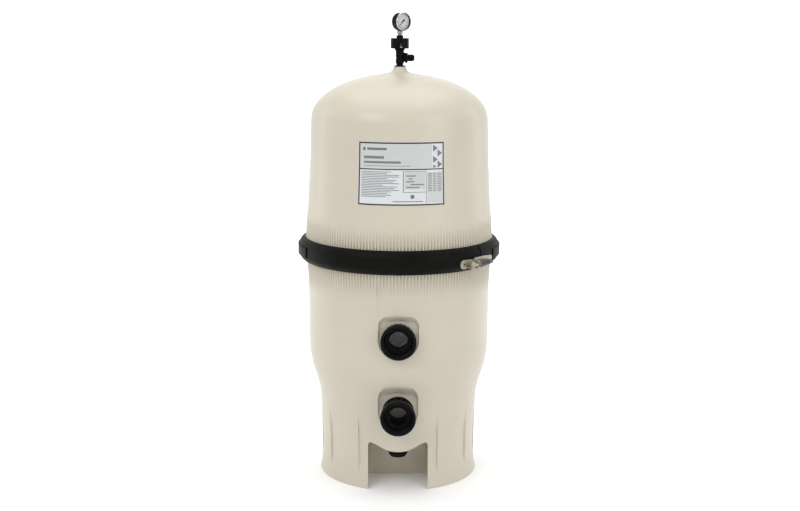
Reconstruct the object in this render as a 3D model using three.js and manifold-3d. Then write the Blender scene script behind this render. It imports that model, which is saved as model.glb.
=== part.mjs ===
// Pool filter tank: a two-piece moulded tank held by a hinged clamp band, with its ports, air
// relief valve, pressure gauge and filter grids. Millimetres, +Z up, tank on Z, ports facing -Y.
import * as THREE from "three";
import { mergeVertices } from "three/addons/utils/BufferGeometryUtils.js";
import Module from "manifold-3d";

const wasm = await Module();
wasm.setup();

// ---------------------------------------------------------------- driving dimensions
const GAP = 0.3; // clearance between pieces that touch
const RING_STEPS = 40; // facets round the large shells
const MEDIUM_STEPS = 24; // facets round the ports and the gauge
const SMALL_STEPS = 16;
const FAR = 400; // beyond the outside of the tank
const OVER = 1; // how far a cutter passes the face that it cuts

const FOOT_RADIUS = 218;
const PART_LINE_Z = 626; // where the lid meets the bottom
const FLANGE_RADIUS = 262;
const FLANGE_HEIGHT = 25.5;
const WALL = 7;
const DISH_TOP_Z = 232;
const DISH_DEPTH = 141;
const DISH_RADIUS = 210;
const DOME_BASE_Z = 975;
const DOME_RADIUS = 238;
const DOME_HEIGHT = 122;
const NECK_TOP_Z = 1113.5;
const NECK_BORE = 12.4;

const SKIRT_HOLLOW_RADIUS = 206;
const ALCOVE_HALF_WIDTH = 80;
const ALCOVE_BACK_Y = -79;
const ALCOVE_TOP_Z = 132;
const ALCOVE_CORNER = 14;
const ALCOVE_WALL = 6;
const DRAIN_Y = -165;
const DRAIN_RIM_Z = 93;
const DRAIN_RIM_RADIUS = 30;
const DRAIN_BORE = 15;
const DRAIN_SHANK_TOP = 112;

const PORT_Z = [217.4, 420.6]; // two ports, 203.2 apart
const PORT_PAD_Y = [-206, -235];
const PORT_PAD_BACK = 8; // wall thickness left behind a pad
const PORT_PAD_RADIUS = 53;
const PORT_FACE_Y = -275.5;
const PORT_BORE = 24.25;
const SLEEVE_RADIUS = 30;
const BARREL_RADIUS = 37;
const BARREL_END = 247;
const PORT_FLANGE_RADIUS = 42;
const BULKHEAD_NUT_RADIUS = 41;
const UNION_NUT_RADIUS = 46.5;

const BAND_BOTTOM_Z = 594;
const BAND_TOP_Z = 658;
const BAND_RADIUS = 272.7;
const BAND_LIP_RADIUS = 254.8;
const STRAP_RADIUS = 275.5;
const SEAM_AZIMUTH = 52; // measured from the front, positive to the viewer's right
const SEAM_GAP = 4;
const LATCH_AZIMUTH = 52;
const LATCH_PLATE_AZIMUTH = 42;
const BOLT_DISTANCE = 285.5; // clamp bolt's line from the tank axis
const BOLT_Z = 614;
const BOLT_RADIUS = 4;
const BOLT_PIVOT_X = -55;
const BOLT_END_X = 33;
const BOLT_HEAD_RADIUS = 4.5;
const SPRING_RADIUS = 7;
const SPRING_WIRE = 1.3;
const SPRING_X = [-25.9, 18]; // the spring's ends, along the bolt
const SPRING_TURNS = 8;

const MANIFOLD_Z = [945, 975];
const MANIFOLD_RADIUS = 125;
const OUTLET_PIPE_Y = -180;
const GRID_Z = [215, 925];
const GRID_INNER_RADIUS = 45;
const GRID_OUTER_RADIUS = 200;
const GRID_THICKNESS = 9;
const GRID_NOZZLE_RADIUS = 11;
const TIE_ROD_RADIUS = 5;

const VALVE_PORT_Z = 1137;
const KNOB_RADIUS = 24.3;
const KNOB_Z = [1161.7, 1189];
const GAUGE_Z = 1232.1;
const GAUGE_HEX_Z = [1190.8, 1196.6]; // clear of the knob at its highest
const GAUGE_TURN = 39; // the dial looks this far to the viewer's right
const GAUGE_RADIUS = 25;
const GAUGE_CASE_RADIUS = 23.6;
const GAUGE_DEPTH = [-7.5, 16]; // the case's back and front
const DIAL_FRONT = 11.4;
const NEEDLE_REST = 45; // the needle's tip at rest, clockwise from straight down

// ---------------------------------------------------------------- materials
const paint = (color, roughness, metalness = 0) =>
  new THREE.MeshStandardMaterial({ color, roughness, metalness });
const MATERIALS = {
  shell: paint(0xcdc5b2, 0.55),
  band: paint(0x171816, 0.45),
  stainless: paint(0xb9bbbd, 0.3, 1),
  spring: paint(0x34363a, 0.4, 1),
  brass: paint(0xb08d4a, 0.35, 1),
  black: paint(0x161616, 0.5),
  rubber: paint(0x202020, 0.9),
  white: paint(0xe6e6e2, 0.5),
  fabric: paint(0xe9e7df, 0.95),
  chrome: paint(0xd8dadc, 0.1, 1),
  glass: paint(0xdfe8ea, 0.05),
  label: paint(0xe6e8ea, 0.4),
};

// ---------------------------------------------------------------- solids
// A closed three.js geometry as a manifold-3d solid with its faces pointing out.
function solid(geometry) {
  const plain = new THREE.BufferGeometry();
  const flat = geometry.index ? geometry.toNonIndexed() : geometry;
  plain.setAttribute("position", flat.getAttribute("position"));
  const merged = mergeVertices(plain, 1e-4);
  const corners = merged.index.array;
  const triangles = [];
  for (let i = 0; i < corners.length; i += 3) {
    const [a, b, c] = [corners[i], corners[i + 1], corners[i + 2]];
    if (a !== b && b !== c && c !== a) triangles.push(a, b, c);
  }
  const vertProperties = merged.attributes.position.array;
  const build = (triVerts) => new wasm.Manifold(new wasm.Mesh({ numProp: 3, vertProperties, triVerts }));
  const made = build(new Uint32Array(triangles));
  if (made.volume() > 0) return made;
  return build(new Uint32Array(triangles.reverse()));
}

function geometryOf(made) {
  const mesh = made.getMesh();
  const geometry = new THREE.BufferGeometry();
  geometry.setAttribute("position", new THREE.BufferAttribute(mesh.vertProperties, mesh.numProp));
  geometry.setIndex(new THREE.BufferAttribute(mesh.triVerts, 1));
  const flat = geometry.toNonIndexed();
  flat.computeVertexNormals();
  return flat;
}

const join = (...solids) => wasm.Manifold.union(solids);
const cut = (base, ...tools) => base.subtract(wasm.Manifold.union(tools));
const common = (...solids) => wasm.Manifold.intersection(solids);

// A closed outline of [radius, z] points turned about the Z axis.
function turned(points, steps = SMALL_STEPS) {
  const closed = [...points, points[0]].map(([radius, z]) => new THREE.Vector2(radius, z));
  return solid(new THREE.LatheGeometry(closed, steps).rotateX(Math.PI / 2));
}

const rod = (radius, z0, z1, steps = SMALL_STEPS) =>
  turned([[0, z0], [radius, z0], [radius, z1], [0, z1]], steps);

const pipe = (outer, inner, z0, z1, steps = SMALL_STEPS) =>
  turned([[inner, z0], [outer, z0], [outer, z1], [inner, z1]], steps);

function box([x0, x1], [y0, y1], [z0, z1]) {
  const geometry = new THREE.BoxGeometry(x1 - x0, y1 - y0, z1 - z0);
  return solid(geometry.translate((x0 + x1) / 2, (y0 + y1) / 2, (z0 + z1) / 2));
}

// An outline of [x, y] points, given its thickness along Z from z0 to z1.
function prism(points, z0, z1) {
  const shape = new THREE.Shape(points.map(([x, y]) => new THREE.Vector2(x, y)));
  const geometry = new THREE.ExtrudeGeometry(shape, { depth: z1 - z0, bevelEnabled: false });
  return solid(geometry.translate(0, 0, z0));
}

// Turns a solid made along +Z so that it runs along -Y (towards the front), at height z.
const towardsFront = (made, z) => made.rotate([90, 0, 0]).translate([0, 0, z]);

// A flat outline of [x, z] points, given its thickness along Y from y0 to y1.
function slab(points, y0, y1) {
  const shape = new THREE.Shape(points.map(([x, z]) => new THREE.Vector2(x, z)));
  const geometry = new THREE.ExtrudeGeometry(shape, { depth: y1 - y0, bevelEnabled: false });
  return solid(geometry.rotateX(Math.PI / 2).translate(0, y1, 0));
}

function arc(count, from, to, place) {
  const points = [];
  for (let i = 0; i <= count; i += 1) points.push(place(from + ((to - from) * i) / count));
  return points;
}

const degrees = (angle) => (angle * Math.PI) / 180;

// A point on a circle about a centre, at an angle in degrees.
const onCircle = (x, y, radius) => (angle) =>
  [x + radius * Math.cos(degrees(angle)), y + radius * Math.sin(degrees(angle))];

// A wedge about the Z axis between two azimuths less than 180 degrees apart.
function wedge(from, to, z0, z1) {
  const edge = (azimuth) => onCircle(0, 0, 2 * FAR)(azimuth - 90);
  return prism([[0, 0], edge(from), edge((from + to) / 2), edge(to)], z0, z1);
}

const part = new THREE.Group();

function add(name, made, material, parent = part) {
  const mesh = new THREE.Mesh(geometryOf(made), MATERIALS[material]);
  mesh.name = name;
  parent.add(mesh);
  return mesh;
}

// ---------------------------------------------------------------- tank
const bottomWall = [
  [FOOT_RADIUS, 0],
  [FOOT_RADIUS - 4, 16],
  [FOOT_RADIUS - 6, 60],
  [FOOT_RADIUS - 5, 120],
  [FOOT_RADIUS - 3, 200],
  [FOOT_RADIUS, 225],
  [229.5, 275],
  [237, 300],
  [243, 325],
  [246.5, 352],
  [248, 520],
  [251.5, 598],
];
const lidWall = [
  [254, 654],
  [252, 700],
  [247, 760],
  [244, 820],
  [240.8, 880],
  [239.6, 940],
];

function dishCurve(radius, depth) {
  return arc(6, 0, 90, (angle) => [
    radius * Math.cos(degrees(angle)),
    DISH_TOP_Z - depth * Math.sin(degrees(angle)),
  ]);
}

// The space under the dish, out to the given radius.
function underDish(radius) {
  const wide = DISH_RADIUS + 12;
  const curve = dishCurve(wide, DISH_DEPTH + 9).filter(([r]) => r < SKIRT_HOLLOW_RADIUS);
  const shoulder = DISH_TOP_Z - 58;
  const below = [[0, -OVER], [radius, -OVER], [radius, shoulder], [SKIRT_HOLLOW_RADIUS, shoulder]];
  return turned([...below, ...curve], RING_STEPS);
}

function alcoveBlock(grow, frontY, topZ) {
  const half = ALCOVE_HALF_WIDTH + grow;
  const back = ALCOVE_BACK_Y + grow;
  const corner = ALCOVE_CORNER + grow;
  const right = arc(4, 0, 90, onCircle(half - corner, back - corner, corner));
  const left = arc(4, 90, 180, onCircle(corner - half, back - corner, corner));
  return prism([[-half, frontY], [half, frontY], ...right, ...left], -OVER, topZ);
}

// The belly of the tank that runs down to the drain boss inside the alcove.
function drainFunnel() {
  const outline = [
    [0, DRAIN_RIM_Z], [DRAIN_RIM_RADIUS, DRAIN_RIM_Z], [53, 112], [64, 121.5], [74, 127.5], [84, 131],
    [84, 182], [0, 182],
  ];
  return turned(outline, MEDIUM_STEPS).translate([0, DRAIN_Y, 0]);
}

function drainPassage() {
  const outline = [[0, 80], [DRAIN_BORE, 80], [DRAIN_BORE, 106], [34, 124], [34, 176], [0, 176]];
  return turned(outline, MEDIUM_STEPS).translate([0, DRAIN_Y, 0]);
}

// The U-shaped recess round a port, sloping out to the wall above it.
function padRecess(index) {
  const z = PORT_Z[index];
  const y = PORT_PAD_Y[index];
  const side = [[-FAR, z], [y, z], [y, z + 42], [y - 22, z + 72], [-FAR, z + 100]];
  const upper = prism(side, -PORT_PAD_RADIUS, PORT_PAD_RADIUS).rotate([90, 0, 90]);
  return join(upper, towardsFront(rod(PORT_PAD_RADIUS, -y, FAR, MEDIUM_STEPS), z));
}

// The groove round the flange that holds the tank seal.
const sealGroove = (top) => pipe(257, 249, top - 5, top + OVER, RING_STEPS);

// The open space inside the tank, down to the dish.
function tankInside(top) {
  const wall = bottomWall
    .filter(([, z]) => z > DISH_TOP_Z)
    .reverse()
    .map(([radius, z]) => [radius - WALL, z]);
  const dish = dishCurve(DISH_RADIUS, DISH_DEPTH);
  return turned([[0, top + OVER], [244.5, top + OVER], ...wall, ...dish], RING_STEPS);
}

// The hand space under the front of the tank, open to the front and below.
function drainAlcove() {
  const block = alcoveBlock(0, -FAR, ALCOVE_TOP_Z);
  const skirt = rod(SKIRT_HOLLOW_RADIUS, -OVER, DISH_TOP_Z, RING_STEPS);
  const behindWall = common(alcoveBlock(0, -FAR, DISH_TOP_Z), skirt);
  return cut(common(underDish(FAR), join(block, behindWall)), drainFunnel());
}

function tankBottom() {
  const top = PART_LINE_Z - GAP / 2;
  const flange = [[FLANGE_RADIUS, top - FLANGE_HEIGHT], [FLANGE_RADIUS, top]];
  const outside = turned([[0, 0], ...bottomWall, ...flange, [0, top]], RING_STEPS);
  const skirtHollow = cut(underDish(SKIRT_HOLLOW_RADIUS), alcoveBlock(ALCOVE_WALL, -FAR, DISH_TOP_Z));
  const pads = PORT_Z.map((z, i) =>
    common(outside, box([-60, 60], [-FAR, PORT_PAD_Y[i] + PORT_PAD_BACK], [z - 59, z + 86])),
  );
  const cuts = PORT_Z.flatMap((z, i) => [
    padRecess(i),
    towardsFront(rod(SLEEVE_RADIUS + GAP, 150, FAR, MEDIUM_STEPS), z),
    towardsFront(rod(BULKHEAD_NUT_RADIUS + 3, 150, -PORT_PAD_Y[i] - PORT_PAD_BACK, MEDIUM_STEPS), z),
  ]);
  const rodSocket = cut(rod(14, 86, 112), rod(TIE_ROD_RADIUS + GAP, 91, 112 + OVER));
  const shell = join(cut(outside, tankInside(top)), ...pads, rodSocket);
  return cut(shell, sealGroove(top), skirtHollow, ...cuts, drainAlcove(), drainPassage());
}

function tankLid() {
  const base = PART_LINE_Z + GAP / 2;
  const dome = (radius, height, last) =>
    arc(7, 0, last, (angle) => [
      radius * Math.cos(degrees(angle)),
      DOME_BASE_Z + height * Math.sin(degrees(angle)),
    ]);
  const outer = [
    [FLANGE_RADIUS, base],
    [FLANGE_RADIUS, base + FLANGE_HEIGHT],
    ...lidWall,
    ...dome(DOME_RADIUS, DOME_HEIGHT, 78),
    [22, 1103],
    [17.5, 1107],
    [17.5, NECK_TOP_Z],
    [NECK_BORE, NECK_TOP_Z],
  ];
  const inner = [
    ...lidWall.map(([radius, z]) => [radius - WALL, z]),
    ...dome(DOME_RADIUS - WALL, DOME_HEIGHT - WALL, 84),
    [NECK_BORE, 1090],
  ];
  return turned([...outer, ...inner.reverse(), [247, base]], RING_STEPS);
}

function tankSeal() {
  const top = PART_LINE_Z - GAP / 2;
  const section = [[249.4, -2.5], [251, -4.6], [255, -4.6], [256.6, -2.5], [253, 0]];
  return turned(section.map(([radius, z]) => [radius, top + z]), RING_STEPS);
}

function label() {
  const face = [[246.4, 772], [244, 820], [240.8, 880], [239.75, 933.5]];
  const back = face.map(([radius, z]) => [radius + GAP, z]);
  const front = face.map(([radius, z]) => [radius + 2.5 * GAP, z]).reverse();
  return common(turned([...front, ...back], RING_STEPS), wedge(-25.3, 28.3, 700, 1000));
}

// ---------------------------------------------------------------- clamp band
function bandRing() {
  return turned(
    [
      [BAND_LIP_RADIUS, BAND_TOP_Z], [260, BAND_TOP_Z - 1.5], [266, BAND_TOP_Z - 6],
      [270.5, BAND_TOP_Z - 13], [BAND_RADIUS, BAND_TOP_Z - 20], [BAND_RADIUS, BAND_BOTTOM_Z + 18], [270.5, BAND_BOTTOM_Z + 12],
      [266, BAND_BOTTOM_Z + 6], [259, BAND_BOTTOM_Z + 1], [252.4, BAND_BOTTOM_Z],
      [252.6, BAND_BOTTOM_Z + 3.5], [FLANGE_RADIUS + 0.6, BAND_BOTTOM_Z + 5.6],
      [FLANGE_RADIUS + 0.6, BAND_TOP_Z - 5.6], [BAND_LIP_RADIUS, BAND_TOP_Z - 3.5],
    ],
    RING_STEPS,
  );
}

// Places a solid built at the front (outward -Y, along the band +X) at an azimuth.
const atAzimuth = (made, azimuth) => made.rotate([0, 0, azimuth]);

function strapPiece(from, to) {
  const ring = pipe(STRAP_RADIUS, BAND_RADIUS - 1, 612, 640, RING_STEPS);
  return common(ring, wedge(from, to, 600, 650));
}

const KNUCKLE = { distance: 283, outer: 7, bore: 3.2, pin: 2.9 };

function knuckle(side, z0, z1) {
  const leaf = box(side > 0 ? [SEAM_GAP, 24] : [-24, -SEAM_GAP], [-279, -271], [z0, z1]);
  const eye = rod(KNUCKLE.outer, z0, z1, 20).translate([0, -KNUCKLE.distance, 0]);
  return join(leaf, eye);
}

function clampHalf(side) {
  const hinge = SEAM_AZIMUTH - 180;
  const reach = side > 0 ? [-2 * FAR, -SEAM_GAP / 2] : [SEAM_GAP / 2, 2 * FAR];
  const half = box([-2 * FAR, 2 * FAR], reach, [500, 700]);
  const strip = common(bandRing(), atAzimuth(half, SEAM_AZIMUTH - 90));
  const straps = side > 0 ? [strapPiece(-119, -64)] : [strapPiece(66, 150), strapPiece(148, 222)];
  const heights = side > 0 ? [[606, 617.7], [634.3, 646]] : [[618, 634]];
  const eyes = heights.map(([z0, z1]) => atAzimuth(knuckle(side, z0, z1), hinge));
  const bore = rod(KNUCKLE.bore, 590, 660).translate([0, -KNUCKLE.distance, 0]);
  return cut(join(strip, ...straps, ...eyes), atAzimuth(bore, hinge));
}

function hingePin() {
  const pin = join(rod(KNUCKLE.pin, 603, 648), rod(5, 646.3, 650));
  return atAzimuth(pin.translate([0, -KNUCKLE.distance, 0]), SEAM_AZIMUTH - 180);
}

// A plate bent round the band between two radii, cut from an outline given at the front.
function bentPlate(outline, azimuth, inner, outer) {
  const ring = pipe(outer, inner, 590, 650, RING_STEPS);
  return common(ring, atAzimuth(slab(outline, -320, -240), azimuth));
}

const PIVOT_DISTANCE = Math.hypot(BOLT_DISTANCE, BOLT_PIVOT_X);
const PIVOT_AZIMUTH = LATCH_AZIMUTH + (Math.atan(BOLT_PIVOT_X / BOLT_DISTANCE) * 180) / Math.PI;

// One of the two ears that carry the clamp bolt's cross head.
function latchEar(z0, z1) {
  const web = box([-5.5, 5.5], [-PIVOT_DISTANCE, -274.5], [z0, z1]);
  return join(web, rod(7, z0, z1, 20).translate([0, -PIVOT_DISTANCE, 0]));
}

function latchBracket() {
  const end = arc(6, 90, 270, onCircle(-19.5, 615.8, 12.3));
  const outline = [...end, [30, 604.8], [44, 614.5], [44, 630]];
  const plate = bentPlate(outline, LATCH_PLATE_AZIMUTH, BAND_RADIUS + 0.6, BAND_RADIUS + 2.9);
  const rivetHole = towardsFront(rod(2.6, 250, 320), 616).translate([-18.7, 0, 0]);
  const ears = join(latchEar(605.4, 609.3), latchEar(618.7, 622.6));
  const eye = rod(BOLT_HEAD_RADIUS + 0.4, 590, 640, 20).translate([0, -PIVOT_DISTANCE, 0]);
  const holes = [atAzimuth(rivetHole, LATCH_PLATE_AZIMUTH), atAzimuth(eye, PIVOT_AZIMUTH)];
  return cut(join(plate, atAzimuth(ears, PIVOT_AZIMUTH)), ...holes);
}

function saddleBracket() {
  const end = arc(6, -90, 90, onCircle(44, 620.5, 6.5));
  const outline = [[-33.5, 630.5], [-33.5, 615.2], ...end, [6, 631]];
  const plate = bentPlate(outline, LATCH_AZIMUTH, BAND_RADIUS + 3.2, BAND_RADIUS + 5.4);
  const outward = -BOLT_DISTANCE - 3;
  const block = box([-33.5, -27.7], [outward, -275.3], [604.5, 623.5]);
  const slotY = [outward - OVER, -BOLT_DISTANCE + BOLT_RADIUS + 0.6];
  const slot = box([-34.5, -26.7], slotY, [BOLT_Z - 4.5, BOLT_Z + 4.5]);
  return join(plate, atAzimuth(cut(block, slot), LATCH_AZIMUTH));
}

// A piece of the clamp bolt's train, built along +Z, laid along the bolt at the latch.
const alongBolt = (made) =>
  atAzimuth(made.rotate([0, 90, 0]).translate([0, -BOLT_DISTANCE, BOLT_Z]), LATCH_AZIMUTH);

function clampBolt() {
  const head = rod(BOLT_HEAD_RADIUS, 603, 625, 20).translate([BOLT_PIVOT_X, -BOLT_DISTANCE, 0]);
  return join(atAzimuth(head, LATCH_AZIMUTH), alongBolt(rod(BOLT_RADIUS, BOLT_PIVOT_X, BOLT_END_X)));
}

// The helix that the clamp spring's wire follows, along +Z.
class Coil extends THREE.Curve {
  getPoint(t, target = new THREE.Vector3()) {
    const angle = 2 * Math.PI * SPRING_TURNS * t;
    const radius = SPRING_RADIUS - SPRING_WIRE;
    const [from, to] = [SPRING_X[0] + 2 * SPRING_WIRE, SPRING_X[1] - 2 * SPRING_WIRE];
    return target.set(radius * Math.cos(angle), radius * Math.sin(angle), from + (to - from) * t);
  }
}

function clampSpring() {
  const corners = arc(4, 0, 288, onCircle(0, 0, SPRING_WIRE));
  const section = new THREE.Shape(corners.map(([x, y]) => new THREE.Vector2(x, y)));
  const steps = 10 * SPRING_TURNS;
  return alongBolt(
    solid(new THREE.ExtrudeGeometry(section, { steps, extrudePath: new Coil(), bevelEnabled: false })),
  );
}

const WASHER = 1.5;

// A flat washer on the clamp bolt, starting at x along it.
const boltWasher = (x) => alongBolt(pipe(SPRING_RADIUS, BOLT_RADIUS + GAP, x, x + WASHER, 20));

function clampNut() {
  const start = SPRING_X[1] + WASHER + GAP;
  return alongBolt(cut(rod(7, start, start + 9.5, 6), rod(BOLT_RADIUS + 0.15, start - OVER, 44)));
}

// ---------------------------------------------------------------- ports
// The bulkhead fitting: a sleeve through the wall, a flange on the pad and a barrel in front.
function bulkhead(pad, sleeveEnd) {
  const flange = [pad + 3 + GAP, pad + 8];
  return turned([
    [PORT_BORE, sleeveEnd], [SLEEVE_RADIUS, sleeveEnd], [SLEEVE_RADIUS, flange[0]],
    [PORT_FLANGE_RADIUS, flange[0]], [PORT_FLANGE_RADIUS, flange[1]], [BARREL_RADIUS, flange[1]],
    [BARREL_RADIUS, BARREL_END], [PORT_BORE, BARREL_END],
  ], MEDIUM_STEPS);
}

// The open ring nut on the barrel, with finger slots round its back edge.
function unionNut() {
  const back = BARREL_END - 1;
  const front = -PORT_FACE_Y;
  const bore = BARREL_RADIUS + 0.4;
  const outline = [
    [bore, back], [UNION_NUT_RADIUS, back], [UNION_NUT_RADIUS, front - 1.5],
    [UNION_NUT_RADIUS - 1.5, front], [bore, front],
  ];
  const slots = [];
  for (let i = 0; i < 12; i += 1) {
    const slot = box([UNION_NUT_RADIUS - 4, UNION_NUT_RADIUS + 2], [-2.4, 2.4], [back - OVER, back + 15]);
    slots.push(slot.rotate([0, 0, i * 30]));
  }
  return cut(turned(outline, MEDIUM_STEPS), ...slots);
}

function portPieces(name, index) {
  const pad = -PORT_PAD_Y[index];
  const back = pad - PORT_PAD_BACK;
  const place = (made) => towardsFront(made, PORT_Z[index]);
  const sleeveHole = SLEEVE_RADIUS + GAP;
  const backNut = rod(BULKHEAD_NUT_RADIUS, back - 12, back - GAP, 12);
  const seat = [BARREL_END + GAP, BARREL_END + 5.5];
  add(`${name}_gasket`, place(pipe(41, sleeveHole, pad + GAP, pad + 3, MEDIUM_STEPS)), "rubber");
  add(`${name}_bulkhead`, place(bulkhead(pad, back - 16)), "black");
  add(`${name}_bulkhead_nut`, place(cut(backNut, rod(sleeveHole, 150, FAR, MEDIUM_STEPS))), "black");
  add(`${name}_union_nut`, place(unionNut()), "black");
  add(`${name}_seat_ring`, place(pipe(BARREL_RADIUS, PORT_BORE, ...seat, MEDIUM_STEPS)), "black");
}

function inletDiffuser() {
  const back = -PORT_PAD_Y[0] - PORT_PAD_BACK;
  const shell = rod(36, 158, back - 12 - GAP, MEDIUM_STEPS);
  const inside = rod(SLEEVE_RADIUS + GAP, 162, back + OVER, MEDIUM_STEPS);
  const window = box([-20, 20], [20, FAR], [165, 180]);
  return towardsFront(cut(shell, inside, window), PORT_Z[0]);
}

function outletElbow() {
  const z = PORT_Z[1];
  const back = -PORT_PAD_Y[1] - PORT_PAD_BACK;
  const start = back - 12 - GAP;
  const stand = (radius, z0, z1) => rod(radius, z0, z1, MEDIUM_STEPS).translate([0, OUTLET_PIPE_Y, 0]);
  const arm = towardsFront(rod(34, -OUTLET_PIPE_Y, start, MEDIUM_STEPS), z);
  const outer = join(arm, stand(34, z - 34, z + 62));
  const inner = join(
    towardsFront(rod(PORT_BORE, -OUTLET_PIPE_Y, start + OVER, MEDIUM_STEPS), z),
    towardsFront(rod(SLEEVE_RADIUS + GAP, back - 17, start + OVER, MEDIUM_STEPS), z),
    stand(PORT_BORE, z - 28, z + 62 + OVER),
    stand(SLEEVE_RADIUS + GAP, z + 42, z + 62 + OVER),
  );
  return cut(outer, inner);
}

// ---------------------------------------------------------------- filter grids
const GRID_AZIMUTHS = [45, 90, 135, 180, 225, 270, 315];
const GRID_BOW = 18; // how far a grid bows sideways

function bowAt(radius, outer) {
  const middle = (GRID_INNER_RADIUS + outer) / 2;
  const half = (outer - GRID_INNER_RADIUS) / 2;
  return GRID_BOW * (1 - ((radius - middle) / half) ** 2);
}

function nozzlePlace(azimuth, outer) {
  const radius = 90;
  const bow = bowAt(radius, outer);
  const [sin, cos] = [Math.sin(degrees(azimuth)), Math.cos(degrees(azimuth))];
  return [radius * sin + bow * cos, bow * sin - radius * cos];
}

// One bowed grid leaf standing on edge, with the nozzle that plugs into the manifold.
function filterGrid(azimuth, outer) {
  const edge = (side) =>
    arc(5, GRID_INNER_RADIUS, outer, (radius) =>
      [bowAt(radius, outer) + (side * GRID_THICKNESS) / 2, -radius]);
  const leaf = prism([...edge(1), ...edge(-1).reverse()], ...GRID_Z);
  const [x, y] = nozzlePlace(azimuth, outer);
  const nozzle = rod(GRID_NOZZLE_RADIUS, GRID_Z[1] - 12, MANIFOLD_Z[0] + 3, 8);
  return join(leaf.rotate([0, 0, azimuth]), nozzle.translate([x, y, 0]));
}

const PARTIAL_GRID_OUTER = 140;
const PIPE_BOSS_RADIUS = 34;

// The manifold's outline, shrunk by grow, between two heights.
function manifoldBody(grow, z0, z1) {
  const radius = PIPE_BOSS_RADIUS - grow;
  return join(
    rod(MANIFOLD_RADIUS - grow, z0, z1, MEDIUM_STEPS),
    box([-radius, radius], [OUTLET_PIPE_Y, 0], [z0, z1]),
    rod(radius, z0, z1).translate([0, OUTLET_PIPE_Y, 0]),
  );
}

function gridManifold() {
  const [z0, z1] = MANIFOLD_Z;
  const wall = 4;
  const floor = [z0 - OVER, z0 + wall + OVER];
  const boss = rod(PIPE_BOSS_RADIUS, z0 - 20, z1).translate([0, OUTLET_PIPE_Y, 0]);
  const places = GRID_AZIMUTHS.map((azimuth) => nozzlePlace(azimuth, GRID_OUTER_RADIUS));
  places.push(nozzlePlace(0, PARTIAL_GRID_OUTER));
  const holes = places.map(([x, y]) => rod(GRID_NOZZLE_RADIUS + GAP, ...floor, 8).translate([x, y, 0]));
  const socket = rod(SLEEVE_RADIUS + GAP, z0 - 20 - OVER, floor[1], MEDIUM_STEPS);
  const centre = pipe(9, TIE_ROD_RADIUS + GAP, z0, z1);
  const hollow = cut(manifoldBody(wall, z0 + wall, z1 - wall), rod(9, z0, z1));
  const rodHole = rod(TIE_ROD_RADIUS + GAP, z0 - OVER, z1 + OVER);
  const body = join(manifoldBody(0, z0, z1), boss);
  return join(cut(body, hollow, socket.translate([0, OUTLET_PIPE_Y, 0]), ...holes, rodHole), centre);
}

function gridSpacer() {
  const z1 = GRID_Z[0] - GAP;
  const z0 = z1 - 10;
  const spokes = [];
  for (let i = 0; i < 8; i += 1) spokes.push(box([-4, 4], [-145, -10], [z0, z1]).rotate([0, 0, i * 45]));
  const wheel = join(pipe(150, 140, z0, z1, MEDIUM_STEPS), rod(14, z0, z1), ...spokes);
  return cut(wheel, rod(TIE_ROD_RADIUS + GAP, z0 - OVER, z1 + OVER));
}

function airBleedScreen() {
  const base = MANIFOLD_Z[1] + GAP;
  return cut(rod(8, base, 1062, 12), rod(6, base + 4, 1062 + OVER, 12)).translate([60, 40, 0]);
}

// ---------------------------------------------------------------- drain
function drainPlug() {
  const top = DRAIN_RIM_Z - 3.3;
  const shank = DRAIN_BORE - 0.4;
  const head = [[0, top - 15], [21, top - 15], [28, top]];
  const body = turned([...head, [shank, top], [shank, DRAIN_SHANK_TOP], [0, DRAIN_SHANK_TOP]]);
  const slot = box([-30, 30], [-3, 3], [top - 16, top - 9]);
  return cut(body, slot).translate([0, DRAIN_Y, 0]);
}

const drainSeal = () =>
  pipe(24, DRAIN_BORE + GAP, DRAIN_RIM_Z - 3, DRAIN_RIM_Z - GAP).translate([0, DRAIN_Y, 0]);

// ---------------------------------------------------------------- air relief valve
function valveBody() {
  const outer = turned([
    [0, 1092], [12, 1092], [12, NECK_TOP_Z + 3], [9, 1118.5], [9, 1120.5], [11, 1123], [11, 1135],
    [10.2, 1136.5], [10.2, 1139.5], [11, 1141], [11, 1155.5], [13.8, 1159], [13.8, 1161.4], [0, 1161.4],
  ]);
  const inner = turned([[0, 1091], [5, 1091], [5, 1121], [8.6, 1121], [8.6, 1162], [0, 1162]]);
  const sideways = (made) => made.rotate([0, 90, 0]).translate([0, 0, VALVE_PORT_Z]);
  const branch = sideways(join(rod(7, 5, 14), rod(13.2, 13, 21.5), rod(6, 20, 33)));
  const bore = sideways(rod(3.5, 5, 34, 12));
  const fillet = slab([[8, 1150], [14, 1150], [21.4, 1146], [14, 1128], [8, 1125]], -2, 2);
  return cut(join(outer, branch, fillet), inner, bore);
}

const neckSeal = () => pipe(16, 12.3, NECK_TOP_Z + GAP, NECK_TOP_Z + 2.4);

function gaugePost() {
  const hole = rod(1.3, 1120, 1125, 8).translate([6.2, 0, 0]);
  const holes = [0, 120, 240].map((angle) => hole.rotate([0, 0, angle]));
  const post = join(rod(8.4, 1121 + GAP, 1124), rod(4, 1122, GAUGE_HEX_Z[0] - GAP));
  return cut(post, rod(1.2, 1120, GAUGE_HEX_Z[0], 8), ...holes);
}

function reliefPoppet() {
  const bore = 4.25;
  return turned([
    [bore, 1124.3], [8, 1124.3], [8, 1127], [6, 1127], [6, 1144], [7, 1144.4], [7, 1146], [8.3, 1146.4],
    [8.3, 1150], [6.4, 1150], [6.4, 1172], [bore, 1172],
  ]);
}

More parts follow.
